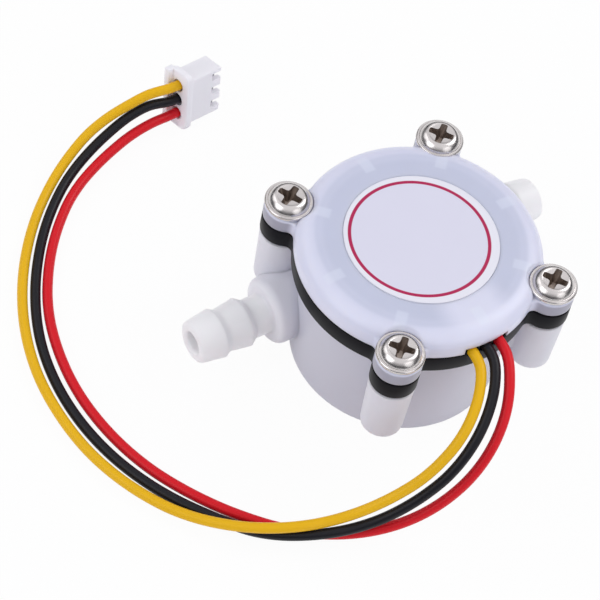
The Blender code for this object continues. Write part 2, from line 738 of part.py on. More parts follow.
def make_shaft():
    low = pivot_top - BUSH_HEIGHT - PRESS_GAP + SEAT_GAP
    high = upper_boss_bottom + BUSH_HEIGHT + PRESS_GAP - SEAT_GAP
    tip = SHAFT_RADIUS * 0.3
    profile = [
        (0.0, high),
        (SHAFT_RADIUS - tip, high),
        (SHAFT_RADIUS, high - tip),
        (SHAFT_RADIUS, low + tip),
        (SHAFT_RADIUS - tip, low),
        (0.0, low),
    ]
    return finish(turned("rotor_shaft", profile, PARTS, COARSE), SHAFT_STEEL)


def make_bush(name, low):
    high = low + BUSH_HEIGHT
    bore = SHAFT_RADIUS + RUNNING_GAP
    profile = [
        (bore + BUSH_RIM, high),
        (bush_radius, high),
        (bush_radius, low),
        (bore + BUSH_RIM, low),
        (bore, low + BUSH_RIM),
        (bore, high - BUSH_RIM),
    ]
    return finish(turned(name, profile, PARTS, COARSE, closed=True), BUSH_BRONZE)


def make_circuit_board():
    board = cylinder("circuit_board", board_radius, board_bottom, board_top, PARTS)
    return finish(board, BOARD_GREEN)


def make_hall_sensor():
    """A flat three-leg sensor that lies on the well's floor over the circle of magnets."""
    width, depth, height = SENSOR_SIZE
    back = magnet_circle + depth / 2
    front = back - depth
    case = box(
        "hall_sensor",
        (-width / 2, front, sensor_bottom),
        (width / 2, back, sensor_bottom + height),
        PARTS,
        CHIP_EDGE,
    )
    middle = sensor_bottom + height / 2
    for index in (-1, 0, 1):
        centre = index * SENSOR_LEG_PITCH
        leg = box(
            f"leg_{index + 1}",
            (centre - SENSOR_LEG / 2, front - SENSOR_LEG_REACH, middle - SENSOR_LEG / 2),
            (centre + SENSOR_LEG / 2, front + SEAT_GAP, middle + SENSOR_LEG / 2),
            CUTTERS,
        )
        foot = box(
            f"leg_foot_{index + 1}",
            (centre - SENSOR_LEG / 2, front - SENSOR_LEG_REACH, middle - SENSOR_LEG / 2),
            (centre + SENSOR_LEG / 2, front - SENSOR_LEG_REACH + SENSOR_LEG, board_bottom - SEAT_GAP / 2),
            CUTTERS,
        )
        join(case, leg, foot)
    return finish(case, CHIP_BLACK, round_piece=False)


def make_chip(name, size, centre, surface):
    low = board_top + SEAT_GAP
    half_x, half_y = size[0] / 2, size[1] / 2
    chip = box(
        name,
        (centre[0] - half_x, centre[1] - half_y, low),
        (centre[0] + half_x, centre[1] + half_y, low + size[2]),
        PARTS,
        CHIP_EDGE,
    )
    return finish(chip, surface, round_piece=False)


def crimp_frame():
    """Where the crimp housing lies: the middle of its wire face, and its U, V and W axes."""
    level = Vector((math.cos(CRIMP_HEADING), math.sin(CRIMP_HEADING), 0.0))
    side = Vector((math.sin(CRIMP_HEADING), -math.cos(CRIMP_HEADING), 0.0))
    upright = Vector((0.0, 0.0, 1.0))
    along = level * math.cos(CRIMP_DIP) - upright * math.sin(CRIMP_DIP)
    below = level * math.sin(CRIMP_DIP) + upright * math.cos(CRIMP_DIP)
    down = side * math.sin(CRIMP_LEAN) - below * math.cos(CRIMP_LEAN)
    across = along.cross(down)
    turn = Matrix((along, down, across)).transposed().to_4x4()
    rim_corner = Vector((CRIMP_RIM[0], CRIMP_RIM[1] / 2, CRIMP_RIM[2] / 2))
    nose_corner = Vector((CRIMP_RIM[0] + CRIMP_BODY[0], CRIMP_BODY[1] / 2, CRIMP_BODY[2] / 2))
    height = CRIMP_STAND - min((turn @ corner).z for corner in (rim_corner, nose_corner))
    return Matrix.Translation((*CRIMP_PLACE, height)) @ turn


def make_crimp_housing():
    length, width, thickness = CRIMP_BODY
    rim_length, rim_width, rim_thickness = CRIMP_RIM
    lip_reach, lip_thickness = CRIMP_LIP
    end = rim_length + length
    housing = box(
        "connector_housing",
        (rim_length / 2, -width / 2, -thickness / 2),
        (end, width / 2, thickness / 2),
        PARTS,
        CRIMP_EDGE,
    )
    rim = box(
        "crimp_rim",
        (0.0, -rim_width / 2, -rim_thickness / 2),
        (rim_length, rim_width / 2, rim_thickness / 2),
        CUTTERS,
        CRIMP_EDGE,
    )
    lip = box(
        "crimp_lip",
        (-lip_reach, -rim_width / 2, rim_thickness / 2 - lip_thickness),
        (rim_length / 2, rim_width / 2, rim_thickness / 2),
        CUTTERS,
        CRIMP_EDGE,
    )
    join(housing, rim, lip)
    for index in (-1, 0, 1):
        centre = index * CONTACT_PITCH
        half = CAVITY_SIDE / 2
        cavity = box(
            f"cavity_{index + 1}",
            (CAVITY_START, centre - half, -half),
            (end + SEAT_GAP, centre + half, half),
            CUTTERS,
        )
        slot = box(
            f"slot_{index + 1}",
            (end - SLOT_LENGTH, centre - SLOT_WIDTH / 2, -thickness),
            (end + SEAT_GAP, centre + SLOT_WIDTH / 2, 0.0),
            CUTTERS,
        )
        hole = cylinder(
            f"lead_hole_{index + 1}",
            LEAD_RADIUS + LEAD_HOLE_GAP,
            -SEAT_GAP,
            CAVITY_START + SEAT_GAP,
            CUTTERS,
            segments=COARSE,
        )
        middle = Vector((CAVITY_START / 2, centre, 0.0))
        hole.matrix_world = Matrix.Translation(middle) @ Matrix.Rotation(math.pi / 2, 4, "Y")
        cut(housing, cavity, slot, hole)
    frame = crimp_frame()
    housing.matrix_world = frame
    for tool in CUTTERS.objects:
        if tool.name.startswith(("crimp_", "cavity_", "slot_", "lead_hole_")):
            tool.matrix_world = frame @ tool.matrix_world
    return finish(housing, CONNECTOR_NYLON, round_piece=False)


def make_contact(name, index):
    """A box contact in its cavity, open towards the mating end."""
    start = CAVITY_START + SEAT_GAP
    centre = index * CONTACT_PITCH
    half = CONTACT_SIDE / 2
    contact = box(
        name,
        (start, centre - half, -half),
        (start + CONTACT_LENGTH, centre + half, half),
        PARTS,
    )
    inner = half - CONTACT_WALL
    hollow = box(
        name + "_hollow",
        (start + CONTACT_WALL, centre - inner, -inner),
        (start + CONTACT_LENGTH + SEAT_GAP, centre + inner, inner),
        CUTTERS,
    )
    cut(contact, hollow)
    frame = crimp_frame()
    contact.matrix_world = frame
    hollow.matrix_world = frame
    return finish(contact, CONTACT_TIN, round_piece=False)


def smooth_route(points, sample):
    """Points at about the sample's spacing along a centripetal curve through the route's points."""
    ends = [points[0] * 2 - points[1], points[-1] * 2 - points[-2]]
    knots = [ends[0]] + points + [ends[1]]
    dense = []
    for a, b, c, d in zip(knots, knots[1:], knots[2:], knots[3:]):
        t = [0.0]
        for p, q in ((a, b), (b, c), (c, d)):
            t.append(t[-1] + math.sqrt((q - p).length))
        for value in np.linspace(t[1], t[2], 12, endpoint=False):
            p = [
                (t[i + 1] - value) / (t[i + 1] - t[i]) * u + (value - t[i]) / (t[i + 1] - t[i]) * v
                for i, (u, v) in enumerate(((a, b), (b, c), (c, d)))
            ]
            q = [
                (t[i + 2] - value) / (t[i + 2] - t[i]) * p[i] + (value - t[i]) / (t[i + 2] - t[i]) * p[i + 1]
                for i in range(2)
            ]
            dense.append((t[2] - value) / (t[2] - t[1]) * q[0] + (value - t[1]) / (t[2] - t[1]) * q[1])
    dense.append(points[-1])
    line = np.array([tuple(p) for p in dense])
    reach = np.concatenate([[0.0], np.cumsum(np.linalg.norm(np.diff(line, axis=0), axis=1))])
    count = max(2, round(reach[-1] / sample))
    spots = np.linspace(0.0, reach[-1], count + 1)
    return np.stack([np.interp(spots, reach, line[:, axis]) for axis in range(3)], axis=1)


def lead_route(name, index):
    """From the board's pad over the plate's rim, along the route, and into the crimp housing."""
    offset = LEAD_OFFSETS[index]
    pad_height = board_top + SEAT_GAP + LEAD_RADIUS
    inside = [
        (offset, PAD_INSET - board_radius, pad_height),
        (offset, -well_radius, cover_bottom),
        (offset, COMB_DEPTH / 2 - plate_radius, cover_bottom),
        (offset, -LEAD_RADIUS - plate_radius, cover_bottom),
    ]
    free = [tuple(value * MM for value in point) for point in ROUTES_MM[name]]
    frame = crimp_frame()
    seat = (index - 1) * CONTACT_PITCH
    entry = [frame @ Vector((u, seat, 0.0)) for u in (-LEAD_APPROACH, 0.0, CAVITY_START)]
    return [Vector(p) for p in inside + free] + entry


def make_lead(name, index, surface):
    route = smooth_route(lead_route(name, index), LEAD_SAMPLE)
    curve = bpy.data.curves.new(name, "CURVE")
    curve.dimensions = "3D"
    curve.bevel_depth = LEAD_RADIUS
    curve.bevel_resolution = LEAD_BEVEL_STEPS
    curve.use_fill_caps = True
    spline = curve.splines.new("POLY")
    spline.points.add(len(route) - 1)
    for point, place_xyz in zip(spline.points, route):
        point.co = (*place_xyz, 1.0)
    lead = place(name, curve, PARTS)
    curve.materials.append(surface)
    return lead


def build():
    fixed = [make_lower_housing(), make_middle_plate(), make_top_cover(), make_label(), make_seal_ring()]
    for index, spot in enumerate(SCREW_PLACES):
        fixed.append(make_screw(f"cover_screw_{index + 1}", spot))
    turning = [make_rotor(), make_shaft()]
    for index, spot in enumerate(magnet_places()):
        turning.append(make_magnet(f"rotor_magnet_{index + 1}", spot))
    fixed.append(make_bush("lower_bush", pivot_top - BUSH_HEIGHT))
    fixed.append(make_bush("upper_bush", upper_boss_bottom))
    fixed.append(make_circuit_board())
    fixed.append(make_hall_sensor())
    fixed.append(make_chip("pull_up_resistor", RESISTOR_SIZE, (CHIP_SPREAD, CHIP_ROW), CHIP_BLACK))
    fixed.append(make_chip("filter_capacitor", CAPACITOR_SIZE, (-CHIP_SPREAD, CHIP_ROW), CAPACITOR_TAN))
    insulation = (YELLOW_INSULATION, BLACK_INSULATION, RED_INSULATION)
    for index, (name, surface) in enumerate(zip(LEAD_NAMES, insulation)):
        fixed.append(make_lead(name, index, surface))
        fixed.append(make_contact(f"connector_contact_{index + 1}", index - 1))
    fixed.append(make_crimp_housing())
    frame_empty = bpy.data.objects.new("sensor_frame", None)
    axis_empty = bpy.data.objects.new("rotor_axis", None)
    for empty in (frame_empty, axis_empty):
        PARTS.objects.link(empty)
    axis_empty.parent = frame_empty
    for obj in fixed:
        obj.parent = frame_empty
    for obj in turning:
        obj.parent = axis_empty


clear_scene()
PARTS = collection("water_flow_sensor")
CUTTERS = collection("cutters")
WHITE_PLASTIC = material("white_plastic", (0.80, 0.79, 0.84), 0.45)
BLACK_PLASTIC = material("black_plastic", (0.020, 0.019, 0.026), 0.5)
MILKY_PLASTIC = material("milky_plastic", (0.78, 0.79, 0.86), 0.35)
LABEL_FILM = material("label_film", (0.70, 0.70, 0.77), 0.4)
SCREW_STEEL = material("screw_steel", (0.62, 0.58, 0.55), 0.22, metallic=1.0)
BLACK_RUBBER = material("black_rubber", (0.02, 0.02, 0.02), 0.8)
ROTOR_PLASTIC = material("rotor_plastic", (0.55, 0.57, 0.62), 0.5)
MAGNET_IRON = material("magnet_iron", (0.12, 0.12, 0.13), 0.6, metallic=0.6)
SHAFT_STEEL = material("shaft_steel", (0.65, 0.65, 0.66), 0.25, metallic=1.0)
BUSH_BRONZE = material("bush_bronze", (0.55, 0.38, 0.18), 0.4, metallic=1.0)
BOARD_GREEN = material("board_green", (0.02, 0.16, 0.07), 0.45)
CHIP_BLACK = material("chip_black", (0.02, 0.02, 0.02), 0.5)
CAPACITOR_TAN = material("capacitor_tan", (0.45, 0.32, 0.2), 0.5)
YELLOW_INSULATION = material("yellow_insulation", (0.80, 0.45, 0.01), 0.4)
BLACK_INSULATION = material("black_insulation", (0.015, 0.015, 0.02), 0.4)
RED_INSULATION = material("red_insulation", (0.60, 0.01, 0.015), 0.4)
CONNECTOR_NYLON = material("connector_nylon", (0.80, 0.78, 0.86), 0.45)
CONTACT_TIN = material("contact_tin", (0.6, 0.6, 0.6), 0.3, metallic=1.0)
build()
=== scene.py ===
"""Water flow sensor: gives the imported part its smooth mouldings, printed label, plated screws and leads.

Each operator makes one piece, or one group of like pieces, in place over the solid it stands for.
"""

import math

import bpy
import numpy as np
from mathutils import Matrix, Vector


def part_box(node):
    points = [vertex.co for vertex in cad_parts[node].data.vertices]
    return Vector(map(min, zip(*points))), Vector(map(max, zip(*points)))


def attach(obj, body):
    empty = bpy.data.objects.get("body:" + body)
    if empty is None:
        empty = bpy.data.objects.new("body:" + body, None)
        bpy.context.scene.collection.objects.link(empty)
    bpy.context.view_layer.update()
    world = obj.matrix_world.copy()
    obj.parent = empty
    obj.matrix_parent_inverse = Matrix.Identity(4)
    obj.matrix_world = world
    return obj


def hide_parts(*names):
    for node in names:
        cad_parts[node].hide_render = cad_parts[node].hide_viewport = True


bl_info = {
    "name": "Water flow sensor",
    "version": (1, 0, 0),
    "blender": (4, 5, 0),
    "location": "View3D > Sidebar > Flow sensor",
    "description": "Makes the pieces of a small turbine water flow sensor with hose barbs",
    "category": "Object",
}

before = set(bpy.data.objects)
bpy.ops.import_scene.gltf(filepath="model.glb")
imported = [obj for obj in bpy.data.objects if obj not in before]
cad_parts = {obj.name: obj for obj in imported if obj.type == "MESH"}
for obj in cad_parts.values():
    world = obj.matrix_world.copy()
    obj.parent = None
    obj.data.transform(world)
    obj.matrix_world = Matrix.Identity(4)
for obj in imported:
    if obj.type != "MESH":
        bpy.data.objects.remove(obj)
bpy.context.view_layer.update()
MM = 0.001

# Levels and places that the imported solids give
COVER_LOW, COVER_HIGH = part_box("top_cover")
HOUSING_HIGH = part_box("lower_housing")[1]
LABEL_LOW, LABEL_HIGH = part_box("label")
SCREW_NODES = tuple(f"cover_screw_{index}" for index in (1, 2, 3, 4))
SCREW_SPOTS = tuple(((low + high) / 2).to_2d() for low, high in map(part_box, SCREW_NODES))

# Gap between pieces that rest on each other, how far a cut goes past a surface, and what counts as level
SEAT_GAP = 0.3 * MM
OVERCUT = MM
LEVEL = 0.01 * MM

# Points that are closer than this are merged
DOUBLED = 0.001 * MM

# Depth of the two sockets for the bushes
BUSH_DEPTH = 2.05 * MM

# The cup, its bosses and their webs are made too high by unlike amounts, and then cut level
CUP_EXCESS, BOSS_EXCESS, WEB_EXCESS = 0.6 * MM, 0.4 * MM, 0.2 * MM

# Eight ribs stand under the cover, and every second one runs towards a screw
RIB_HEADINGS = tuple(math.radians(45 * step) for step in range(8))

# Towards the leads, the painted shade over the cover's hollow is mostly lifted, so the cover is paler there
PALE_HEADING = math.radians(270)

# Direction from the middle of the label's print to the middle of the label
PRINT_LEAN = (0.85, -0.53)

# How far the cross of each screw is turned
SCREW_TURNS = tuple(math.radians(turn) for turn in (40, 34, 39, 28))

# How the crimp housing lies: its place on the ground, its stand above it, and its turns
CRIMP_PLACE = (-7.95 * MM, 48.5 * MM)
CRIMP_STAND = 0.05 * MM
CRIMP_HEADING = math.radians(8.5)
CRIMP_DIP = math.radians(5.5)
CRIMP_LEAN = math.radians(11)

# A screw head's outline: shares of its radius, and of its height there
HEAD_REACH = (0.0, 0.3, 0.52, 0.58, 0.62, 0.65, 0.70, 0.77, 0.84, 0.90, 0.95, 0.985, 1.0)
HEAD_RISE = (0.94, 0.945, 0.95, 0.965, 0.995, 1.0, 0.965, 0.86, 0.69, 0.50, 0.31, 0.12, 0.0)

# Routes of the leads from the cover's rim to just before the crimp housing, in millimetres
ROUTES_MM = {
    "wire_yellow": [
        (-3.2, -20.6, 20.2), (-7.8, -25.0, 17.4), (-13.1, -26.3, 12.5), (-18.5, -25.2, 7.5),
        (-24.8, -23.2, 4.2), (-31.8, -20.9, 3.9), (-37.6, -16.6, 2.6), (-42.3, -11.0, 1.4),
        (-45.9, -4.5, 1.2), (-48.1, 2.6, 1.1), (-48.8, 9.9, 1.1), (-48.2, 17.3, 1.0),
        (-46.2, 24.5, 1.0), (-43.0, 31.2, 1.0), (-38.8, 37.3, 1.0), (-33.8, 42.7, 1.0),
        (-27.9, 47.0, 2.2), (-21.4, 49.5, 4.6), (-14.4, 49.6, 7.2),
        (-10.6, 49.2, 8.1),
    ],
    "wire_black": [
        (-0.9, -20.6, 20.4), (-5.1, -25.3, 17.8), (-10.2, -27.6, 13.1), (-15.4, -27.3, 8.0),
        (-21.2, -25.6, 3.8), (-28.0, -23.2, 2.6), (-33.9, -19.0, 1.3), (-38.6, -13.3, 0.95),
        (-42.5, -7.1, 0.9), (-45.3, -0.2, 0.9), (-46.7, 7.0, 0.9), (-46.7, 14.3, 0.9),
        (-45.3, 21.5, 0.9), (-42.5, 28.3, 0.9), (-38.6, 34.6, 0.9), (-33.9, 40.2, 0.9),
        (-28.2, 44.9, 1.5), (-21.8, 47.8, 3.0), (-14.8, 48.9, 5.5),
        (-10.8, 48.7, 5.9),
    ],
    "wire_red": [
        (1.3, -20.6, 20.3), (-2.1, -25.7, 17.4), (-6.6, -28.5, 12.6), (-11.7, -28.8, 7.4),
        (-17.3, -27.2, 3.1), (-23.6, -24.4, 1.15), (-29.7, -20.5, 0.9), (-34.8, -15.3, 0.9),
        (-39.0, -9.3, 0.9), (-42.2, -2.8, 0.9), (-44.1, 4.2, 0.9), (-44.7, 11.5, 0.9),
        (-43.9, 18.7, 0.9), (-41.8, 25.7, 0.9), (-38.3, 32.1, 0.9), (-33.8, 37.8, 0.9),
        (-28.3, 42.6, 1.2), (-22.0, 45.6, 2.0), (-14.8, 47.4, 3.1),
        (-11.1, 47.6, 3.3),
    ],
}


def length(value, note):
    """A length that the sidebar shows, given in millimetres."""
    return bpy.props.FloatProperty(name=note, default=value * MM, min=0.0, unit="LENGTH", precision=5)


def colour(value, note):
    """A colour that the sidebar shows, in linear values."""
    return bpy.props.FloatVectorProperty(name=note, default=value, min=0.0, max=1.0, subtype="COLOR")


class FlowSensorSizes(bpy.types.PropertyGroup):
    """Sizes of the visible shapes."""

    facets: bpy.props.IntProperty(name="Faces round a large turned shape", default=120, min=24, max=240)
    wall_foot: length(15.0, "Radius of the cup just above the ground")
    wall_top: length(15.448, "Radius of the cup under the black plate")
    foot_round: length(0.5, "Rounding of the cup's lower edge")
    chamber: length(11.6, "Radius of the round chamber")
    chamber_floor: length(2.4, "Thickness of the cup's floor")
    pivot_top: length(3.8, "Height of the boss that holds the lower bush")
    pivot_radius: length(2.85, "Radius of the boss that holds a bush")
    bush_socket: length(1.7, "Radius of the socket for a bush")
    rebate_radius: length(13.3, "Radius of the seat for the seal ring")
    rebate_floor: length(15.4, "Height of the seat for the seal ring")
    barb_side: length(8.8, "Distance of the barbs' axis from the rotor's axis")
    barb_height: length(6.85, "Height of the barbs' axis")
    barb_tip: length(29.0, "Distance of a barb's end from the middle")
    bore: length(1.6, "Radius of the water passage")
    jet: length(1.1, "Radius of the narrowed inlet")
    jet_length: length(4.0, "Length of the narrowed inlet")
    neck: length(2.9, "Radius of a barb between its ridges")
    ridge: length(3.6, "Radius of a barb at the crest of a ridge")
    ridge_end: length(3.8, "Distance of a barb's outer ridge from its end")
    ridge_pitch: length(4.1, "Distance between a barb's two ridges")
    collar: length(4.95, "Radius of the collar at a barb's root")
    collar_face: length(17.4, "Distance of a collar's face from the middle")
    collar_round: length(1.1, "Rounding of a collar's edge")
    boss_top: length(3.2, "Radius of a screw boss under the black plate")
    boss_foot: length(2.943, "Radius of a screw boss at its lower end")
    boss_bottom: length(7.3, "Height of a screw boss's lower end above the ground")
    boss_round: length(0.45, "Rounding of a screw boss's lower end")
    web_width: length(3.6, "Width of the web between a screw boss and the wall")
    web_bottom: length(9.6, "Height of a web's lower end above the ground")
    screw_hole: length(1.5, "Radius of the holes round the screw shanks")
    screw_hole_bottom: length(11.9, "Height of the lower end of a boss's hole")
    plate_radius: length(17.0, "Radius of the black plate")
    plate_edge: length(0.25, "Rounding of the black plate's edges")
    spigot: length(11.3, "Radius of the black plate's spigot")
    spigot_bottom: length(14.4, "Height of the spigot's lower end")
    upper_boss_bottom: length(12.8, "Height of the upper bush's boss")
    well: length(10.3, "Radius of the well for the circuit board")
    well_floor: length(15.8, "Height of the well's floor")
    ear: length(3.3, "Radius of an ear about its screw")
    ear_fillet: length(1.0, "Radius of the hollow where an ear meets the rim")
    cover_radius: length(17.1, "Radius of the milky cover")
    cover_shoulder: length(1.9, "Rounding of the cover's top edge")
    cover_ease: length(1.1, "How much further in the rounding begins than it falls")
    cover_step: length(0.06, "Step of the dome above the rim")
    cover_wall: length(1.5, "Thickness of the cover's side wall")
    cover_roof: length(1.3, "Thickness of the cover's flat top")
    ear_top: length(22.9, "Height of the cover's ears above the ground")
    ear_edge: length(0.18, "Rounding of the ears' upper edge")
    flange_pocket: length(3.45, "Radius of the pocket round a screw's flange")
    rib_width: length(1.6, "Width of a rib under the cover")
    rib_length: length(3.4, "Length of a rib inside the cover's wall")
    rib_depth: length(1.6, "Depth of a rib below the flat top")
    label_radius: length(10.78, "Radius of the round label")
    label_margin: length(0.04, "Gap between the label and its recess")
    ring_radius: length(9.62, "Radius of the magenta ring on the label")
    ring_width: length(0.48, "Width of the magenta ring on the label")
    print_aside: length(0.3, "Distance of the ring's middle from the label's middle")
    seat: length(23.2, "Height of the underside of a screw's flange")
    flange: length(3.38, "Radius of a screw's washer flange")
    flange_thickness: length(0.5, "Thickness of a screw's flange")
    head: length(2.95, "Radius of a screw's domed head")
    head_rise: length(1.02, "Height of a screw's head above its flange")
    shank: length(1.15, "Radius of a screw's shank")
    shank_tip: length(12.2, "Height of the lower end of a screw")
    cross_width: length(1.12, "Width of an arm of the cross recess")
    cross_span: length(3.8, "Span of the cross recess")
    cross_depth: length(1.9, "Depth of the cross recess")
    lead: length(0.75, "Radius of a lead's insulation")
    lead_pitch: length(2.15, "Distance between two leads at the cover's rim")
    post: length(0.9, "Radius of the posts under the circuit board")
    post_reach: length(7.8, "Distance of the posts from the rotor's axis")
    rim_length: length(1.1, "Length of the crimp housing's rim")
    rim_width: length(9.9, "Width of the crimp housing's rim")
    rim_thickness: length(4.5, "Thickness of the crimp housing's rim")
    lip_reach: length(0.9, "Reach of the lip behind the rim")
    lip_thickness: length(1.1, "Thickness of the lip behind the rim")
    crimp_length: length(5.8, "Length of the crimp housing without its rim")
    crimp_width: length(7.9, "Width of the crimp housing without its rim")
    crimp_thickness: length(3.7, "Thickness of the crimp housing")
    rim_corner: length(1.2, "Rounding of the corners of the crimp housing's rim")
    crimp_edge: length(0.22, "Rounding of the crimp housing's edges")
    cavity_start: length(2.4, "Where the contacts' cavities begin")
    contact_pitch: length(2.5, "Distance between two contacts")


class FlowSensorColours(bpy.types.PropertyGroup):
    """Colours of the pieces, in linear values."""

    white_plastic: colour((0.645, 0.645, 0.72), "Cup, barbs and screw bosses")
    # Painted light: a lighter copy of the cup's plastic for the barbs and screw bosses
    white_thin_lit: colour((1.0, 0.99, 1.0), "Barbs and other thin parts")
    milky_plastic: colour((0.78, 0.79, 0.945), "Cover")
    # Painted shade: the cover where the shaded hollow shows through it
    milky_hollow_shade: colour((0.595, 0.625, 0.775), "Cover where it is hollow")
    # Painted light: lighter bands where the ribs thicken the cover
    milky_rib_light: colour((0.80, 0.84, 0.97), "Cover where a rib shows through")
    # Painted shade on the sides of the cover's ears
    milky_ear_shade: colour((0.39, 0.385, 0.455), "Sides of the cover's ears")
    black_plastic: colour((0.006, 0.006, 0.009), "Middle plate")
    label_film: colour((0.76, 0.755, 0.885), "Middle of the label")
    label_border: colour((0.86, 0.86, 0.94), "Border outside the ring")
    label_ring: colour((0.46, 0.006, 0.08), "Printed ring")
    nickel: colour((0.66, 0.63, 0.625), "Screws")
    recess: colour((0.40, 0.345, 0.31), "Bottom of a screw's cross recess")
    yellow: colour((0.88, 0.50, 0.008), "Signal lead")
    black: colour((0.010, 0.010, 0.014), "Ground lead")
    red: colour((0.74, 0.010, 0.020), "Supply lead")
    nylon: colour((0.96, 0.94, 1.0), "Crimp housing")


def sizes():
    """The sizes that the sidebar shows."""
    return bpy.context.scene.flow_sensor_sizes


def colours():
    """The colours that the sidebar shows."""
    return bpy.context.scene.flow_sensor_colours


# Modelling


def clear_selection():
    """Leaves edit mode, with nothing selected."""
    if bpy.context.mode != "OBJECT":
        bpy.ops.object.mode_set(mode="OBJECT")
    bpy.ops.object.select_all(action="DESELECT")


def pick(piece):
    """Makes a piece the only one that is selected."""
    clear_selection()
    piece.select_set(True)
    bpy.context.view_layer.objects.active = piece


def begin_point(name, place):
    """Starts a piece in edit mode as one selected point."""
    clear_selection()
    bpy.ops.mesh.primitive_plane_add(size=MM, location=place)
    piece = bpy.context.object
    piece.name = name
    piece.data.name = name
    bpy.ops.object.transform_apply(location=True, rotation=True, scale=True)
    bpy.ops.object.mode_set(mode="EDIT")
    bpy.ops.mesh.select_all(action="SELECT")
    bpy.ops.mesh.merge(type="CENTER")
    return piece


def extrude_through(points):
    """Extrudes the selected point through the points that follow the first."""
    for start, end in zip(points, points[1:]):
        step = Vector(end) - Vector(start)
        bpy.ops.mesh.extrude_vertices_move(TRANSFORM_OT_translate={"value": step})


def close_surface():
    """Merges doubled points, turns all faces outwards and leaves edit mode."""
    bpy.ops.mesh.select_all(action="SELECT")
    bpy.ops.mesh.remove_doubles(threshold=DOUBLED)
    bpy.ops.mesh.normals_make_consistent(inside=False)
    bpy.ops.object.mode_set(mode="OBJECT")


def spin_profile(name, profile, axis="Z", centre=(0.0, 0.0, 0.0), steps=None):
    """Extrudes a profile of (radius, place along the axis) and spins it once about that axis."""
    centre = Vector(centre)
    if axis == "Z":
        points = [centre + Vector((radius, 0.0, along)) for radius, along in profile]
        turn = (0.0, 0.0, 1.0)
    else:
        points = [centre + Vector((along, radius, 0.0)) for radius, along in profile]
        turn = (1.0, 0.0, 0.0)
    piece = begin_point(name, points[0])
    extrude_through(points)
    bpy.ops.mesh.select_all(action="SELECT")
    steps = steps or sizes().facets
    bpy.ops.mesh.spin(steps=steps, angle=math.tau, center=centre, axis=turn)
    close_surface()
    return piece


def rod(name, radius, start, end, axis="Z", centre=(0.0, 0.0, 0.0), steps=None):
    """A plain cylinder between two places along its axis."""
    profile = [(0.0, start), (radius, start), (radius, end), (0.0, end)]
    return spin_profile(name, profile, axis, centre, steps)


def extrude_outline(name, outline, low, high):
    """Draws a closed outline of (x, y) points at the low level, fills it and extrudes it up."""
    points = [Vector((x, y, low)) for x, y in outline]
    piece = begin_point(name, points[0])
    extrude_through(points + points[:1])
    bpy.ops.mesh.select_all(action="SELECT")
    bpy.ops.mesh.remove_doubles(threshold=DOUBLED)
    bpy.ops.mesh.edge_face_add()
    bpy.ops.mesh.extrude_region_move(TRANSFORM_OT_translate={"value": (0.0, 0.0, high - low)})
    close_surface()
    return piece


def block(name, low, high):
    """A block between two corners, as the start of a bevelled or cutting shape."""
    low, high = Vector(low), Vector(high)
    clear_selection()
    bpy.ops.mesh.primitive_cube_add(size=1.0, location=(low + high) / 2)
    piece = bpy.context.object
    piece.name = name
    piece.data.name = name
    piece.scale = high - low
    bpy.ops.object.transform_apply(location=True, rotation=True, scale=True)
    return piece


def round_edges(piece, choose, width, segments):
    """Bevels the edges whose two ends satisfy a test."""
    pick(piece)
    bpy.ops.object.mode_set(mode="EDIT")
    bpy.ops.mesh.select_mode(type="EDGE")
    bpy.ops.mesh.select_all(action="DESELECT")
    bpy.ops.object.mode_set(mode="OBJECT")
    points = piece.data.vertices
    found = 0
    for edge in piece.data.edges:
        start, end = (points[index].co for index in edge.vertices)
        edge.select = bool(choose(start, end))
        found += edge.select
    if not found:
        raise RuntimeError(f"{piece.name}: no edge to round")
    bpy.ops.object.mode_set(mode="EDIT")
    bpy.ops.mesh.bevel(offset=width, offset_type="OFFSET", segments=segments, profile=0.5)
    bpy.ops.mesh.select_mode(type="VERT")
    close_surface()


def combine(piece, tool, operation="DIFFERENCE"):
    """Joins or cuts a piece with a tool by a Boolean modifier, and removes the tool."""
    pick(piece)
    change = piece.modifiers.new(tool.name, "BOOLEAN")
    change.object = tool
    change.operation = operation
    change.solver = "EXACT"
    bpy.ops.object.modifier_apply(modifier=change.name)
    bpy.data.meshes.remove(tool.data)


def copy_of(piece, name):
    """A copy of a piece with a mesh of its own."""
    pick(piece)
    bpy.ops.object.duplicate(linked=False)
    made = bpy.context.object
    made.name = name
    made.data.name = name
    return made


def set_by(piece, matrix):
    """Moves and turns a piece's mesh by a matrix, with its object back at the origin."""
    pick(piece)
    piece.matrix_world = matrix
    bpy.ops.object.transform_apply(location=True, rotation=True, scale=True)


def shade(piece, degrees=32):
    """Smooth shading with sharp edges above an angle."""
    pick(piece)
    bpy.ops.object.shade_smooth_by_angle(angle=math.radians(degrees))


def turned(outline, angle):
    """An outline of (x, y) points, turned about the origin."""
    c, s = math.cos(angle), math.sin(angle)
    return [(x * c - y * s, x * s + y * c) for x, y in outline]


def near(radius, place, *steps):
    """Points of a profile, given by their steps in millimetres from a radius and a place."""
    return [(radius + out * MM, place + on * MM) for out, on in steps]


def arc(centre, radius, start, end, steps):
    """Points of an arc from one angle to another in degrees, with both ends."""
    angles = np.radians(np.linspace(start, end, steps + 1))
    return [(centre[0] + radius * math.cos(a), centre[1] + radius * math.sin(a)) for a in angles]


def dress(piece, finish, body, slot, *nodes):
    """Gives a finished piece its material and body, and hides the solids that it stands for; the slot is
    not used.
    """
    piece.data.materials.clear()
    piece.data.materials.append(finish)
    hand_over(piece, body, slot, *nodes)


def hand_over(piece, body, slot, *nodes):
    """Gives a finished piece its body, and hides the solids that it stands for; the slot is not used."""
    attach(piece, body)
    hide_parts(*nodes)


# Materials


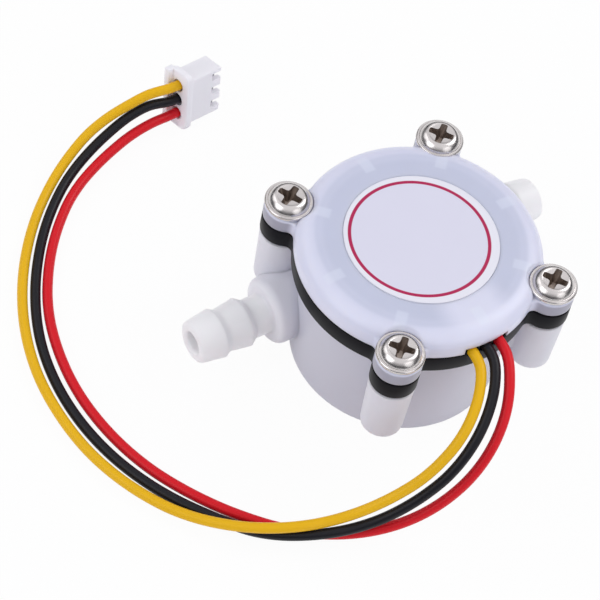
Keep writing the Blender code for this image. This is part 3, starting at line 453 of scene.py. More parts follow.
def add(tree, kind, inputs=None, **settings):
    """Adds a shader node, sets it, and joins or sets its inputs by name or number."""
    made = tree.nodes.new(kind)
    for name, value in settings.items():
        setattr(made, name, value)
    for name, value in (inputs or {}).items():
        if isinstance(value, bpy.types.NodeSocket):
            tree.links.new(value, made.inputs[name])
        else:
            made.inputs[name].default_value = value
    return made


def maths(tree, operation, first, second=None, third=None):
    """One Math node's value."""
    given = (value for value in (first, second, third) if value is not None)
    return add(tree, "ShaderNodeMath", dict(enumerate(given)), operation=operation).outputs[0]


def blend_colours(tree, mask, below, above):
    """One Mix node's colour."""
    mixer = add(tree, "ShaderNodeMix", {0: mask}, data_type="RGBA")
    for index, value in ((6, below), (7, above)):
        if isinstance(value, bpy.types.NodeSocket):
            tree.links.new(value, mixer.inputs[index])
        else:
            mixer.inputs[index].default_value = (*value[:3], 1.0)
    return mixer.outputs[2]


def cover_by_share(tree, mask, share, below, above):
    """One colour covered by another where a mask lies, as far as the share allows."""
    return blend_colours(tree, maths(tree, "MULTIPLY", mask, share), below, above)


def scale_colour(tree, tint, factor):
    """A colour made lighter or darker by a factor."""
    return add(tree, "ShaderNodeVectorMath", {0: tint, "Scale": factor}, operation="SCALE").outputs[0]


def axis_distance(tree, place):
    """The distance of a place from the rotor's axis."""
    flat = add(tree, "ShaderNodeVectorMath", {0: place, 1: (1.0, 1.0, 0.0)}, operation="MULTIPLY")
    return add(tree, "ShaderNodeVectorMath", {0: flat.outputs[0]}, operation="LENGTH").outputs["Value"]


def smooth_step(tree, value, low, high):
    """0 below the low value, 1 above the high one, and smooth between them."""
    node = add(
        tree,
        "ShaderNodeMapRange",
        {"Value": value, "From Min": low, "From Max": high},
        interpolation_type="SMOOTHSTEP",
    )
    return node.outputs["Result"]


def soft_edge(tree, value, edge, softness):
    """0 below an edge, 1 above it, and smooth for the softness on each side of it."""
    low = maths(tree, "SUBTRACT", edge, softness)
    return smooth_step(tree, value, low, maths(tree, "ADD", edge, softness))


def begin_group(name, inputs, outputs):
    """Starts a shader node group with named sockets."""
    tree = bpy.data.node_groups.new(name, "ShaderNodeTree")
    for socket, kind, default in inputs:
        made = tree.interface.new_socket(socket, in_out="INPUT", socket_type=kind)
        if default is not None:
            made.default_value = default
    for socket, kind in outputs:
        tree.interface.new_socket(socket, in_out="OUTPUT", socket_type=kind)
    return tree, tree.nodes.new("NodeGroupInput"), tree.nodes.new("NodeGroupOutput")


VECTOR, FLOAT, COLOUR = "NodeSocketVector", "NodeSocketFloat", "NodeSocketColor"


def moulded_group():
    """Cloudiness, fine grain and a roughness that varies, as on moulded plastic."""
    name = "Moulded plastic"
    if name in bpy.data.node_groups:
        return bpy.data.node_groups[name]
    tree, source, target = begin_group(
        name,
        [
            ("Place", VECTOR, None),
            ("Colour", COLOUR, (0.8, 0.8, 0.8, 1.0)),
            ("Cloud", FLOAT, 0.06),
            ("Roughness", FLOAT, 0.4),
            ("Roughness spread", FLOAT, 0.08),
        ],
        [("Colour", COLOUR), ("Roughness", FLOAT), ("Height", FLOAT)],
    )
    place = source.outputs["Place"]
    cloud = add(tree, "ShaderNodeTexNoise", {"Vector": place, "Scale": 140.0, "Detail": 3.0})
    flow = add(
        tree, "ShaderNodeTexNoise", {"Vector": place, "Scale": 420.0, "Detail": 2.0, "Distortion": 0.6}
    )
    grain = add(tree, "ShaderNodeTexNoise", {"Vector": place, "Scale": 5200.0, "Detail": 2.0})
    swing = maths(tree, "SUBTRACT", cloud.outputs[0], 0.5)
    shade_by = maths(tree, "MULTIPLY_ADD", swing, source.outputs["Cloud"], 1.0)
    shaded = scale_colour(tree, source.outputs["Colour"], shade_by)
    tree.links.new(shaded, target.inputs["Colour"])
    drift = maths(tree, "SUBTRACT", flow.outputs[0], 0.5)
    spread = source.outputs["Roughness spread"]
    rough = maths(tree, "MULTIPLY_ADD", drift, spread, source.outputs["Roughness"])
    tree.links.new(rough, target.inputs["Roughness"])
    height = maths(tree, "MULTIPLY_ADD", grain.outputs[0], 0.35, cloud.outputs[0])
    tree.links.new(height, target.inputs["Height"])
    return tree


def ring_group():
    """A soft-edged ring about the rotor's axis."""
    name = "Ring zone"
    if name in bpy.data.node_groups:
        return bpy.data.node_groups[name]
    tree, source, target = begin_group(
        name,
        [
            ("Place", VECTOR, None),
            ("Radius", FLOAT, 0.01),
            ("Half width", FLOAT, 0.001),
            ("Softness", FLOAT, 0.0001),
        ],
        [("Mask", FLOAT)],
    )
    reach = axis_distance(tree, source.outputs["Place"])
    off = maths(tree, "ABSOLUTE", maths(tree, "SUBTRACT", reach, source.outputs["Radius"]))
    edge = soft_edge(tree, off, source.outputs["Half width"], source.outputs["Softness"])
    tree.links.new(maths(tree, "SUBTRACT", 1.0, edge), target.inputs["Mask"])
    return tree


def spoke_group():
    """A soft-edged straight band that runs outwards from the rotor's axis at a heading."""
    name = "Spoke zone"
    if name in bpy.data.node_groups:
        return bpy.data.node_groups[name]
    tree, source, target = begin_group(
        name,
        [
            ("Place", VECTOR, None),
            ("Heading", FLOAT, 0.0),
            ("Half width", FLOAT, 0.0008),
            ("Start", FLOAT, 0.012),
            ("End", FLOAT, 0.016),
            ("Softness", FLOAT, 0.0002),
        ],
        [("Mask", FLOAT)],
    )
    back = maths(tree, "MULTIPLY", source.outputs["Heading"], -1.0)
    turn = {"Vector": source.outputs["Place"], "Angle": back}
    turned = add(tree, "ShaderNodeVectorRotate", turn, rotation_type="Z_AXIS")
    parts = add(tree, "ShaderNodeSeparateXYZ", {0: turned.outputs[0]})
    soft = source.outputs["Softness"]
    aside = maths(tree, "ABSOLUTE", parts.outputs["Y"])
    across = soft_edge(tree, aside, source.outputs["Half width"], soft)
    past = soft_edge(tree, parts.outputs["X"], source.outputs["Start"], soft)
    beyond = soft_edge(tree, parts.outputs["X"], source.outputs["End"], soft)
    inside = maths(tree, "MULTIPLY", past, maths(tree, "SUBTRACT", 1.0, beyond))
    mask = maths(tree, "MULTIPLY", inside, maths(tree, "SUBTRACT", 1.0, across))
    tree.links.new(mask, target.inputs["Mask"])
    return tree


def worn_metal_group():
    """Fine lines, small dull spots and a roughness that varies, as on handled plated metal."""
    name = "Handled metal"
    if name in bpy.data.node_groups:
        return bpy.data.node_groups[name]
    tree, source, target = begin_group(
        name,
        [
            ("Place", VECTOR, None),
            ("Colour", COLOUR, (0.7, 0.7, 0.7, 1.0)),
            ("Roughness", FLOAT, 0.2),
            ("Dullness", FLOAT, 0.15),
        ],
        [("Colour", COLOUR), ("Roughness", FLOAT), ("Height", FLOAT)],
    )
    place = source.outputs["Place"]
    spots = add(tree, "ShaderNodeTexNoise", {"Vector": place, "Scale": 900.0, "Detail": 4.0})
    squeeze = add(tree, "ShaderNodeMapping", {"Vector": place, "Scale": (1.0, 1.0, 9.0)})
    lines = add(tree, "ShaderNodeTexNoise", {"Vector": squeeze.outputs[0], "Scale": 2600.0, "Detail": 2.0})
    swing = maths(tree, "SUBTRACT", spots.outputs[0], 0.5)
    shade_by = maths(tree, "MULTIPLY_ADD", swing, source.outputs["Dullness"], 1.0)
    shaded = scale_colour(tree, source.outputs["Colour"], shade_by)
    tree.links.new(shaded, target.inputs["Colour"])
    rough = maths(tree, "MULTIPLY_ADD", swing, source.outputs["Dullness"], source.outputs["Roughness"])
    tree.links.new(rough, target.inputs["Roughness"])
    tree.links.new(lines.outputs[0], target.inputs["Height"])
    return tree


def begin_material(name, view_colour):
    """A new material: its tree, its main shader and the object's own coordinates."""
    made = bpy.data.materials.new(name)
    made.use_nodes = True
    made.diffuse_color = (*view_colour[:3], 1.0)
    tree = made.node_tree
    shader = tree.nodes["Principled BSDF"]
    place = add(tree, "ShaderNodeTexCoord").outputs["Object"]
    return made, tree, shader, place


def add_group(tree, group, **inputs):
    """Places a node group and joins or sets its inputs; underscores in names stand for spaces."""
    made = tree.nodes.new("ShaderNodeGroup")
    made.node_tree = group
    for name, value in inputs.items():
        socket = made.inputs[name.replace("_", " ")]
        if isinstance(value, bpy.types.NodeSocket):
            tree.links.new(value, socket)
        elif socket.type == "RGBA":
            socket.default_value = (*value[:3], 1.0)
        else:
            socket.default_value = value
    return made


def add_mask(tree, group, place, **inputs):
    """The mask of a node group that marks a zone."""
    return add_group(tree, group, Place=place, **inputs).outputs["Mask"]


def join_surface(tree, shader, body, depth, strength=0.5, rounding=0.0):
    """Joins a group's colour, roughness and bump to the main shader, with edges that look rounded."""
    tree.links.new(body.outputs["Colour"], shader.inputs["Base Color"])
    tree.links.new(body.outputs["Roughness"], shader.inputs["Roughness"])
    inputs = {"Height": body.outputs["Height"], "Distance": depth, "Strength": strength}
    bump = add(tree, "ShaderNodeBump", inputs)
    if rounding:
        corners = add(tree, "ShaderNodeBevel", {"Radius": rounding}, samples=6)
        tree.links.new(corners.outputs[0], bump.inputs["Normal"])
    tree.links.new(bump.outputs[0], shader.inputs["Normal"])


def moulded_plastic(
    name,
    base,
    rough,
    spread=0.08,
    cloud=0.06,
    bump=0.02,
    specular=0.5,
    subsurface=0.0,
    reach=1.5,
    depth_tint=(1.0, 0.9, 0.95),
    rounding=0.0,
    paint=None,
):
    """A moulded plastic with cloudiness, fine grain and, where light enters it, a soft depth.

    Its bump, reach and rounding are in millimetres. It has the base colour all over, unless paint
    works its colour out from the place.
    """
    made, tree, shader, place = begin_material(name, base)
    tone = paint(tree, place) if paint else base
    settings = {"Colour": tone, "Cloud": cloud, "Roughness": rough, "Roughness_spread": spread}
    body = add_group(tree, moulded_group(), Place=place, **settings)
    shader.inputs["Specular IOR Level"].default_value = specular
    shader.inputs["Subsurface Weight"].default_value = subsurface
    shader.inputs["Subsurface Scale"].default_value = reach * MM
    shader.inputs["Subsurface Radius"].default_value = depth_tint
    join_surface(tree, shader, body, bump * MM, rounding=rounding * MM)
    return made


def material_once(name, maker, *arguments, **settings):
    """The material of that name, made only if it isn't there yet."""
    return bpy.data.materials.get(name) or maker(name, *arguments, **settings)


def white_plastic(name):
    """The cup's plastic."""
    return moulded_plastic(
        name,
        colours().white_plastic,
        rough=0.42,
        spread=0.1,
        cloud=0.05,
        bump=0.03,
        specular=0.4,
        subsurface=0.35,
        reach=1.6,
        rounding=0.7,
        paint=white_painted_light,
    )


def white_painted_light(tree, place):
    """Painted light: the thin barbs, and partly the screw bosses, get a lighter copy of the cup's plastic
    than the thick wall.
    """
    shown, size = colours(), sizes()
    past_collar, inside_wall, outside_wall, boss_share = 1.5 * MM, 0.2 * MM, 1.2 * MM, 0.35
    parts = add(tree, "ShaderNodeSeparateXYZ", {0: place})
    along = maths(tree, "ABSOLUTE", parts.outputs["X"])
    barbs = smooth_step(tree, along, size.wall_top, size.collar_face + past_collar)
    reach = axis_distance(tree, place)
    bosses = smooth_step(tree, reach, size.wall_top - inside_wall, size.wall_top + outside_wall)
    thin = maths(tree, "MAXIMUM", barbs, maths(tree, "MULTIPLY", bosses, boss_share))
    return blend_colours(tree, thin, shown.white_plastic, shown.white_thin_lit)


def black_plastic(name):
    """The middle plate's plastic."""
    settings = {"rough": 0.42, "spread": 0.12, "cloud": 0.2, "bump": 0.02, "specular": 0.1}
    return moulded_plastic(name, colours().black_plastic, **settings)


def nylon(name):
    """The crimp housing's plastic."""
    settings = {"rough": 0.45, "spread": 0.1, "cloud": 0.05, "specular": 0.45}
    return moulded_plastic(name, colours().nylon, subsurface=0.3, reach=1.0, **settings)


def insulation(name, base):
    """Extruded insulation: smooth, with faint streaks and a soft gloss."""
    settings = {"rough": 0.38, "spread": 0.12, "cloud": 0.07, "bump": 0.012, "specular": 0.22}
    return moulded_plastic(name, base, **settings)


def milky_plastic(name):
    """The cover's plastic."""
    return moulded_plastic(
        name,
        colours().milky_plastic,
        rough=0.33,
        spread=0.1,
        cloud=0.08,
        bump=0.02,
        subsurface=0.3,
        reach=1.2,
        depth_tint=(0.8, 0.9, 1.0),
        rounding=0.6,
        paint=milky_light_and_shade,
    )


def milky_light_and_shade(tree, place):
    """Painted shade over the hollow, along its inner wall and at the ears' sides, painted light along the
    ribs, and a patch towards the leads where the painted shade is mostly lifted.
    """
    shown, size = colours(), sizes()
    wall_shade_share, pale_share, rib_light_share = 0.5, 0.9, 0.38
    ear_fade, edge_fade = 1.2 * MM, 0.5 * MM
    ring, spoke = ring_group(), spoke_group()
    # Painted shade over the hollow under the roof
    hollow = add_mask(tree, ring, place, Radius=0.0, Half_width=14.5 * MM, Softness=1.6 * MM)
    tone = blend_colours(tree, hollow, shown.milky_plastic, shown.milky_hollow_shade)
    # Painted shade along the hollow's inner wall
    wall = add_mask(tree, ring, place, Radius=14.3 * MM, Half_width=0.35 * MM, Softness=0.3 * MM)
    tone = cover_by_share(tree, wall, wall_shade_share, tone, shown.milky_hollow_shade)
    # Most of the painted shade is lifted towards the leads
    pale = add_mask(
        tree,
        spoke,
        place,
        Heading=PALE_HEADING,
        Half_width=4.2 * MM,
        Start=10.0 * MM,
        End=size.cover_radius,
        Softness=2.0 * MM,
    )
    tone = cover_by_share(tree, pale, pale_share, tone, shown.milky_plastic)
    # Painted light: a lighter band over each rib
    for step, heading in enumerate(RIB_HEADINGS):
        rib = add_mask(
            tree,
            spoke,
            place,
            Heading=heading,
            Half_width=size.rib_width / 2,
            Start=12.8 * MM,
            End=size.cover_radius + (MM if step % 2 else -size.cover_wall),
            Softness=0.25 * MM,
        )
        tone = cover_by_share(tree, rib, rib_light_share, tone, shown.milky_rib_light)
    # Painted shade on the ears' sides, below their top edge
    reach = axis_distance(tree, place)
    outside = smooth_step(tree, reach, size.cover_radius, size.cover_radius + ear_fade)
    height = add(tree, "ShaderNodeSeparateXYZ", {0: place}).outputs["Z"]
    above = smooth_step(tree, height, size.ear_top - edge_fade, size.ear_top)
    below = maths(tree, "SUBTRACT", 1.0, above)
    return cover_by_share(tree, outside, below, tone, shown.milky_ear_shade)


def label_film(name):
    """A matt printed film."""
    settings = {"rough": 0.42, "spread": 0.06, "cloud": 0.03, "bump": 0.01, "specular": 0.4}
    return moulded_plastic(name, colours().label_film, paint=label_tone, **settings)


def label_tone(tree, place):
    """A pale middle, a thin ring and a whiter border."""
    shown, size = colours(), sizes()
    aside = (PRINT_LEAN[0] * size.print_aside, PRINT_LEAN[1] * size.print_aside, 0.0)
    printed = add(tree, "ShaderNodeVectorMath", {0: place, 1: aside}, operation="ADD").outputs[0]
    reach, half = size.ring_radius, size.ring_width / 2
    middle = add_mask(tree, ring_group(), printed, Radius=0.0, Half_width=reach, Softness=0.05 * MM)
    ring = add_mask(tree, ring_group(), printed, Radius=reach, Half_width=half, Softness=0.06 * MM)
    tone = blend_colours(tree, middle, shown.label_border, shown.label_film)
    return blend_colours(tree, ring, tone, shown.label_ring)


def plated_metal(name, base, rough=0.2, dull=0.12, bump=0.004):
    """A plated or ground metal with fine lines and handling marks; its bump is in millimetres."""
    made, tree, shader, place = begin_material(name, base)
    body = add_group(tree, worn_metal_group(), Place=place, Colour=base, Roughness=rough, Dullness=dull)
    shader.inputs["Metallic"].default_value = 1.0
    join_surface(tree, shader, body, bump * MM, strength=0.3)
    return made


# Pieces


def crimp_frame():
    """Where the crimp housing lies: the middle of its wire face, and its own axes."""
    size = sizes()
    level = Vector((math.cos(CRIMP_HEADING), math.sin(CRIMP_HEADING), 0.0))
    side = Vector((math.sin(CRIMP_HEADING), -math.cos(CRIMP_HEADING), 0.0))
    upright = Vector((0.0, 0.0, 1.0))
    along = level * math.cos(CRIMP_DIP) - upright * math.sin(CRIMP_DIP)
    above = level * math.sin(CRIMP_DIP) + upright * math.cos(CRIMP_DIP)
    down = side * math.sin(CRIMP_LEAN) - above * math.cos(CRIMP_LEAN)
    across = along.cross(down)
    turn = Matrix((along, down, across)).transposed().to_4x4()
    rim_corner = Vector((size.rim_length, size.rim_width / 2, size.rim_thickness / 2))
    nose = size.rim_length + size.crimp_length
    nose_corner = Vector((nose, size.crimp_width / 2, size.crimp_thickness / 2))
    height = CRIMP_STAND - min((turn @ corner).z for corner in (rim_corner, nose_corner))
    return Matrix.Translation((*CRIMP_PLACE, height)) @ turn


def mix(value, low, high, first, last):
    """The point that is as far from the first to the last as the value is from low to high."""
    return (high - value) / (high - low) * first + (value - low) / (high - low) * last


def smooth_route(points, sample, steps=12):
    """Points at about the sample's spacing along a centripetal curve through the route's points.

    Between two points of the route, the curve is worked out in the given number of steps.
    """
    knots = [points[0] * 2 - points[1], *points, points[-1] * 2 - points[-2]]
    dense = []
    for four in zip(knots, knots[1:], knots[2:], knots[3:]):
        pairs = tuple(zip(four, four[1:]))
        times = [0.0]
        for start, end in pairs:
            times.append(times[-1] + math.sqrt((end - start).length))
        for value in np.linspace(times[1], times[2], steps, endpoint=False):
            three = [mix(value, times[i], times[i + 1], *pair) for i, pair in enumerate(pairs)]
            two = [mix(value, times[i], times[i + 2], three[i], three[i + 1]) for i in range(2)]
            dense.append(mix(value, times[1], times[2], *two))
    dense.append(points[-1])
    line = np.array([tuple(p) for p in dense])
    reach = np.concatenate([[0.0], np.cumsum(np.linalg.norm(np.diff(line, axis=0), axis=1))])
    count = max(2, round(reach[-1] / sample))
    spots = np.linspace(0.0, reach[-1], count + 1)
    return np.stack([np.interp(spots, reach, line[:, axis]) for axis in range(3)], axis=1)


def lead_route(name, index):
    """From the board's pad over the plate's rim, along the route, and into the crimp housing."""
    size = sizes()
    offset = (index - 1) * size.lead_pitch
    board_low, board_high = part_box("circuit_board")
    rim = COVER_LOW.z
    pad_inset, bend, approach = 4.3 * MM, 1.5 * MM, 0.7 * MM
    inside = [
        (offset, board_low.y + pad_inset, board_high.z + SEAT_GAP + size.lead),
        (offset, -size.well, rim),
        (offset, bend - size.plate_radius, rim),
        (offset, -size.lead - size.plate_radius, rim),
    ]
    free = [tuple(value * MM for value in point) for point in ROUTES_MM[name]]
    crimp = crimp_frame()
    seat = (index - 1) * size.contact_pitch
    entry = [crimp @ Vector((u, seat, 0.0)) for u in (-approach, 0.0, size.cavity_start)]
    return [Vector(p) for p in inside + free] + entry


class FLOWSENSOR_OT_leads(bpy.types.Operator):
    """Make the yellow, black and red leads"""

    bl_idname = "flow_sensor.leads"
    bl_label = "Leads"

    def execute(self, context):
        shown, size = colours(), sizes()
        tints = {"yellow": shown.yellow, "black": shown.black, "red": shown.red}
        coarse_spacing, fine_spacing = 3.6 * MM, 0.9 * MM
        for index, (tint, base) in enumerate(tints.items()):
            route = smooth_route(lead_route(f"wire_{tint}", index), coarse_spacing)
            curve = bpy.data.curves.new(f"lead_{tint}", "CURVE")
            curve.dimensions = "3D"
            curve.bevel_depth = size.lead
            curve.bevel_resolution = 5
            curve.use_fill_caps = True
            spline = curve.splines.new("POLY")
            fine = smooth_route([Vector(p) for p in route], fine_spacing)
            spline.points.add(len(fine) - 1)
            for point, spot in zip(spline.points, fine):
                point.co = (*spot, 1.0)
            spline.use_smooth = True
            lead = bpy.data.objects.new(f"lead_{tint}", curve)
            context.collection.objects.link(lead)
            curve.materials.append(material_once(f"insulation_{tint}", insulation, base))
            hand_over(lead, "housing", f"{tint}_insulation", f"wire_{tint}")
            steps = np.linalg.norm(np.diff(fine, axis=0), axis=1)
            float(steps.sum())
        return {"FINISHED"}


def drill_screw_holes(piece, low, high, point=0.0):
    """Cuts the holes round the four screws' shanks; with a point, each ends below in a cone."""
    size = sizes()
    profile = [(0.0, low), (size.screw_hole, low + point), (size.screw_hole, high), (0.0, high)]
    for index, spot in enumerate(SCREW_SPOTS):
        name = f"{piece.name}_hole_{index}"
        combine(piece, spin_profile(name, profile, centre=(*spot, 0.0), steps=32))


class FLOWSENSOR_OT_housing(bpy.types.Operator):
    """Make the white cup with its collars, hose barbs and screw bosses"""

    bl_idname = "flow_sensor.housing"
    bl_label = "Housing"

    def execute(self, context):
        size = sizes()
        top = HOUSING_HIGH.z
        foot = size.foot_round
        profile = [(0.0, 0.0)]
        profile += arc((size.wall_foot - foot, foot), foot, -90.0, 0.0, 5)
        profile += [(size.wall_top, top), (size.wall_top, top + CUP_EXCESS), (0.0, top + CUP_EXCESS)]
        shell = spin_profile("housing_shell", profile)
        self.add_bosses(shell)
        self.add_barbs(shell)
        reach = 2 * size.wall_top
        combine(shell, block("housing_trim", (-reach, -reach, top), (reach, reach, top + 2 * OVERCUT)))
        self.cut_chamber(shell)
        drill_screw_holes(shell, size.screw_hole_bottom, top + OVERCUT, point=0.5 * MM)
        self.cut_bores(shell)
        shade(shell)
        finish = material_once("white_moulding", white_plastic)
        dress(shell, finish, "housing", "white_plastic", "lower_housing")
        return {"FINISHED"}

    def add_bosses(self, shell):
        """Joins the four screw bosses and their webs to the cup."""
        size = sizes()
        top = HOUSING_HIGH.z
        low, rounding, half = size.boss_bottom, size.boss_round, size.web_width / 2
        into_cup, into_boss = 0.6 * MM, 0.8 * MM
        profile = [(0.0, low)] + arc((size.boss_foot - rounding, low + rounding), rounding, -90, 0, 4)
        profile += [(size.boss_top, top), (size.boss_top, top + BOSS_EXCESS), (0.0, top + BOSS_EXCESS)]
        for index, spot in enumerate(SCREW_SPOTS):
            boss = spin_profile(f"boss_{index}", profile, centre=(*spot, 0.0), steps=64)
            web = block(
                f"web_{index}",
                (size.rebate_radius + into_cup, -half, size.web_bottom),
                (spot.length - into_boss, half, top + WEB_EXCESS),
            )
            set_by(web, Matrix.Rotation(math.atan2(spot.y, spot.x), 4, "Z"))
            combine(shell, web, "UNION")
            combine(shell, boss, "UNION")

    def add_barbs(self, shell):
        """Joins a collar and a barb of two ridges to the cup on each side."""
        size = sizes()
        root, face, tip = size.pivot_radius, size.collar_face, size.barb_tip
        neck, ridge, rounding = size.neck, size.ridge, size.collar_round
        second = tip - size.ridge_end
        first = second - size.ridge_pitch
        crest = ((-0.12, -0.1), (0.0, 0.04), (-0.05, 0.3))
        edge = arc((face - rounding, size.collar - rounding), rounding, 0, 90, 8)
        profile = [(0.0, root), (size.collar, root)]
        profile += [(radius, along) for along, radius in reversed(edge)]
        profile += near(neck, face, (0.35, 0.0), (0.1, 0.1), (0.0, 0.35))
        profile += near(neck, first, (0.0, -0.8), (0.15, -0.8))
        profile += near(ridge, first, *crest)
        profile += near(neck, second, (0.22, -0.85), (0.28, -0.72))
        profile += near(ridge, second, *crest)
        profile += near(neck, tip, (0.26, -0.6), (0.12, -0.2), (-0.2, 0.0))
        profile += near(size.bore, tip, (0.2, 0.0), (-0.1, -0.4))
        profile += near(0.0, tip, (0.0, -0.4))
        centre = (0.0, size.barb_side, size.barb_height)
        outlet = spin_profile("barb_outlet", profile, "X", centre, 72)
        inlet = copy_of(outlet, "barb_inlet")
        bpy.ops.object.mode_set(mode="EDIT")
        bpy.ops.mesh.select_all(action="SELECT")
        bpy.ops.transform.rotate(value=math.pi, orient_axis="Z", center_override=centre)
        bpy.ops.object.mode_set(mode="OBJECT")
        combine(shell, outlet, "UNION")
        combine(shell, inlet, "UNION")

    def cut_chamber(self, shell):
        """Cuts the chamber, the seat for the seal ring and the socket for the lower bush."""
        size = sizes()
        low, high = size.pivot_top - BUSH_DEPTH, HOUSING_HIGH.z + OVERCUT
        profile = [(0.0, low), (size.bush_socket, low), (size.bush_socket, size.pivot_top)]
        profile += [(size.pivot_radius, size.pivot_top), (size.pivot_radius, size.chamber_floor)]
        profile += [(size.chamber, size.chamber_floor), (size.chamber, size.rebate_floor)]
        profile += [(size.rebate_radius, size.rebate_floor), (size.rebate_radius, high), (0.0, high)]
        combine(shell, spin_profile("chamber", profile))

    def cut_bores(self, shell):
        """Cuts the water passage: a bore on each side and the narrowed jet into the chamber."""
        size = sizes()
        centre = (0.0, size.barb_side, size.barb_height)
        wall = math.sqrt(size.chamber**2 - (size.barb_side - size.bore) ** 2)
        jet_start = -wall - size.jet_length
        reach, overlap = size.barb_tip + OVERCUT, 0.3 * MM
        for name, radius, start, end in (
            ("inlet_bore", size.bore, -reach, jet_start),
            ("inlet_jet", size.jet, jet_start - overlap, -size.pivot_radius),
            ("outlet_bore", size.bore, size.pivot_radius, reach),
        ):
            combine(shell, rod(name, radius, start, end, "X", centre, 40))


def eared_outline(radius, ear, fillet, faces):
    """A circle with a round ear about each screw, joined to it by hollow fillets, anticlockwise."""
    circle = SCREW_SPOTS[0].length
    rim, reach = radius + fillet, ear + fillet
    swing = math.acos((rim**2 + circle**2 - reach**2) / (2 * rim * circle))
    corner = (rim * math.cos(swing), rim * math.sin(swing))
    tilt = math.atan2(corner[1], circle - corner[0])
    swing_d, tilt_d = math.degrees(swing), math.degrees(tilt)
    single = arc((corner[0], -corner[1]), fillet, 180 - swing_d, tilt_d, 6)
    single += arc((circle, 0.0), ear, tilt_d - 180, 180 - tilt_d, 36)[1:]
    single += arc(corner, fillet, -tilt_d, swing_d - 180, 6)[1:]
    headings = sorted(math.atan2(spot.y, spot.x) for spot in SCREW_SPOTS)
    points = []
    for heading, following in zip(headings, headings[1:] + [headings[0] + math.tau]):
        points += turned(single, heading)
        start, end = math.degrees(heading + swing), math.degrees(following - swing)
        steps = max(2, round(faces * (end - start) / 360))
        points += arc((0.0, 0.0), radius, start, end, steps)[1:-1]
    return points


class FLOWSENSOR_OT_plate(bpy.types.Operator):
    """Make the black plate between the cup and the cover"""

    bl_idname = "flow_sensor.plate"
    bl_label = "Plate"

    def execute(self, context):
        size = sizes()
        low, high = HOUSING_HIGH.z + SEAT_GAP, COVER_LOW.z - SEAT_GAP
        middle = (low + high) / 2
        outline = eared_outline(size.plate_radius, size.ear, size.ear_fillet, size.facets)
        plate = extrude_outline("middle_plate_shell", outline, low, high)
        round_edges(plate, lambda a, b: abs(a.z - b.z) < LEVEL, size.plate_edge, 3)
        self.add_spigot(plate, middle)
        self.add_comb(plate, middle)
        combine(plate, rod("well", size.well, size.well_floor, COVER_HIGH.z))
        socket_low = size.upper_boss_bottom - OVERCUT
        socket_high = size.upper_boss_bottom + BUSH_DEPTH
        combine(plate, rod("upper_socket", size.bush_socket, socket_low, socket_high, steps=32))
        self.add_posts(plate)
        self.cut_channels(plate)
        drill_screw_holes(plate, low - OVERCUT, high + OVERCUT)
        shade(plate)
        finish = material_once("black_moulding", black_plastic)
        dress(plate, finish, "housing", "black_plastic", "middle_plate")
        return {"FINISHED"}

    def add_spigot(self, plate, high):
        """Joins the spigot that enters the cup, and the upper bush's boss, under the plate."""
        size = sizes()
        profile = [(0.0, high), (size.spigot, high), (size.spigot, size.spigot_bottom)]
        profile += [(size.pivot_radius, size.spigot_bottom), (size.pivot_radius, size.upper_boss_bottom)]
        profile += [(0.0, size.upper_boss_bottom)]
        combine(plate, spin_profile("spigot", profile), "UNION")

    def add_comb(self, plate, low):
        """Joins the block that holds the leads at the plate's rim."""
        size = sizes()
        side, depth, cover_lead = 0.25 * MM, 3.0 * MM, 0.05 * MM
        half = size.lead_pitch + size.lead + side
        front = math.sqrt(size.plate_radius**2 - half**2)
        top = COVER_LOW.z + size.lead + cover_lead
        comb = block("comb", (-half, -front, low), (half, depth - size.plate_radius, top))
        combine(plate, comb, "UNION")

    def add_posts(self, plate):
        """Joins the four posts under the circuit board."""
        size = sizes()
        low, high = size.well_floor - SEAT_GAP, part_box("circuit_board")[0].z - SEAT_GAP
        profile = [(0.0, low), (size.post, low)]
        profile += near(size.post, high, (0.0, -0.1), (-0.1, 0.0))
        profile += [(0.0, high)]
        for index in range(4):
            turn = math.radians(45 + 90 * index)
            centre = (size.post_reach * math.cos(turn), size.post_reach * math.sin(turn), 0.0)
            combine(plate, spin_profile(f"post_{index}", profile, centre=centre, steps=32), "UNION")

    def cut_channels(self, plate):
        """Cuts the three round channels for the leads, open towards the cover."""
        size = sizes()
        low, high = COVER_LOW.z, COVER_HIGH.z
        radius, reach = size.lead + 0.2 * MM, size.plate_radius + OVERCUT
        outwards = Matrix.Rotation(math.pi / 2, 4, "X")
        for index in (-1, 0, 1):
            offset = index * size.lead_pitch
            channel = rod(f"channel_{index}", radius, 0.0, reach, steps=32)
            set_by(channel, Matrix.Translation((offset, 0.0, low)) @ outwards)
            left, right = offset - radius, offset + radius
            slot = block(f"channel_top_{index}", (left, -reach, low), (right, 0.0, high))
            combine(plate, channel)
            combine(plate, slot)


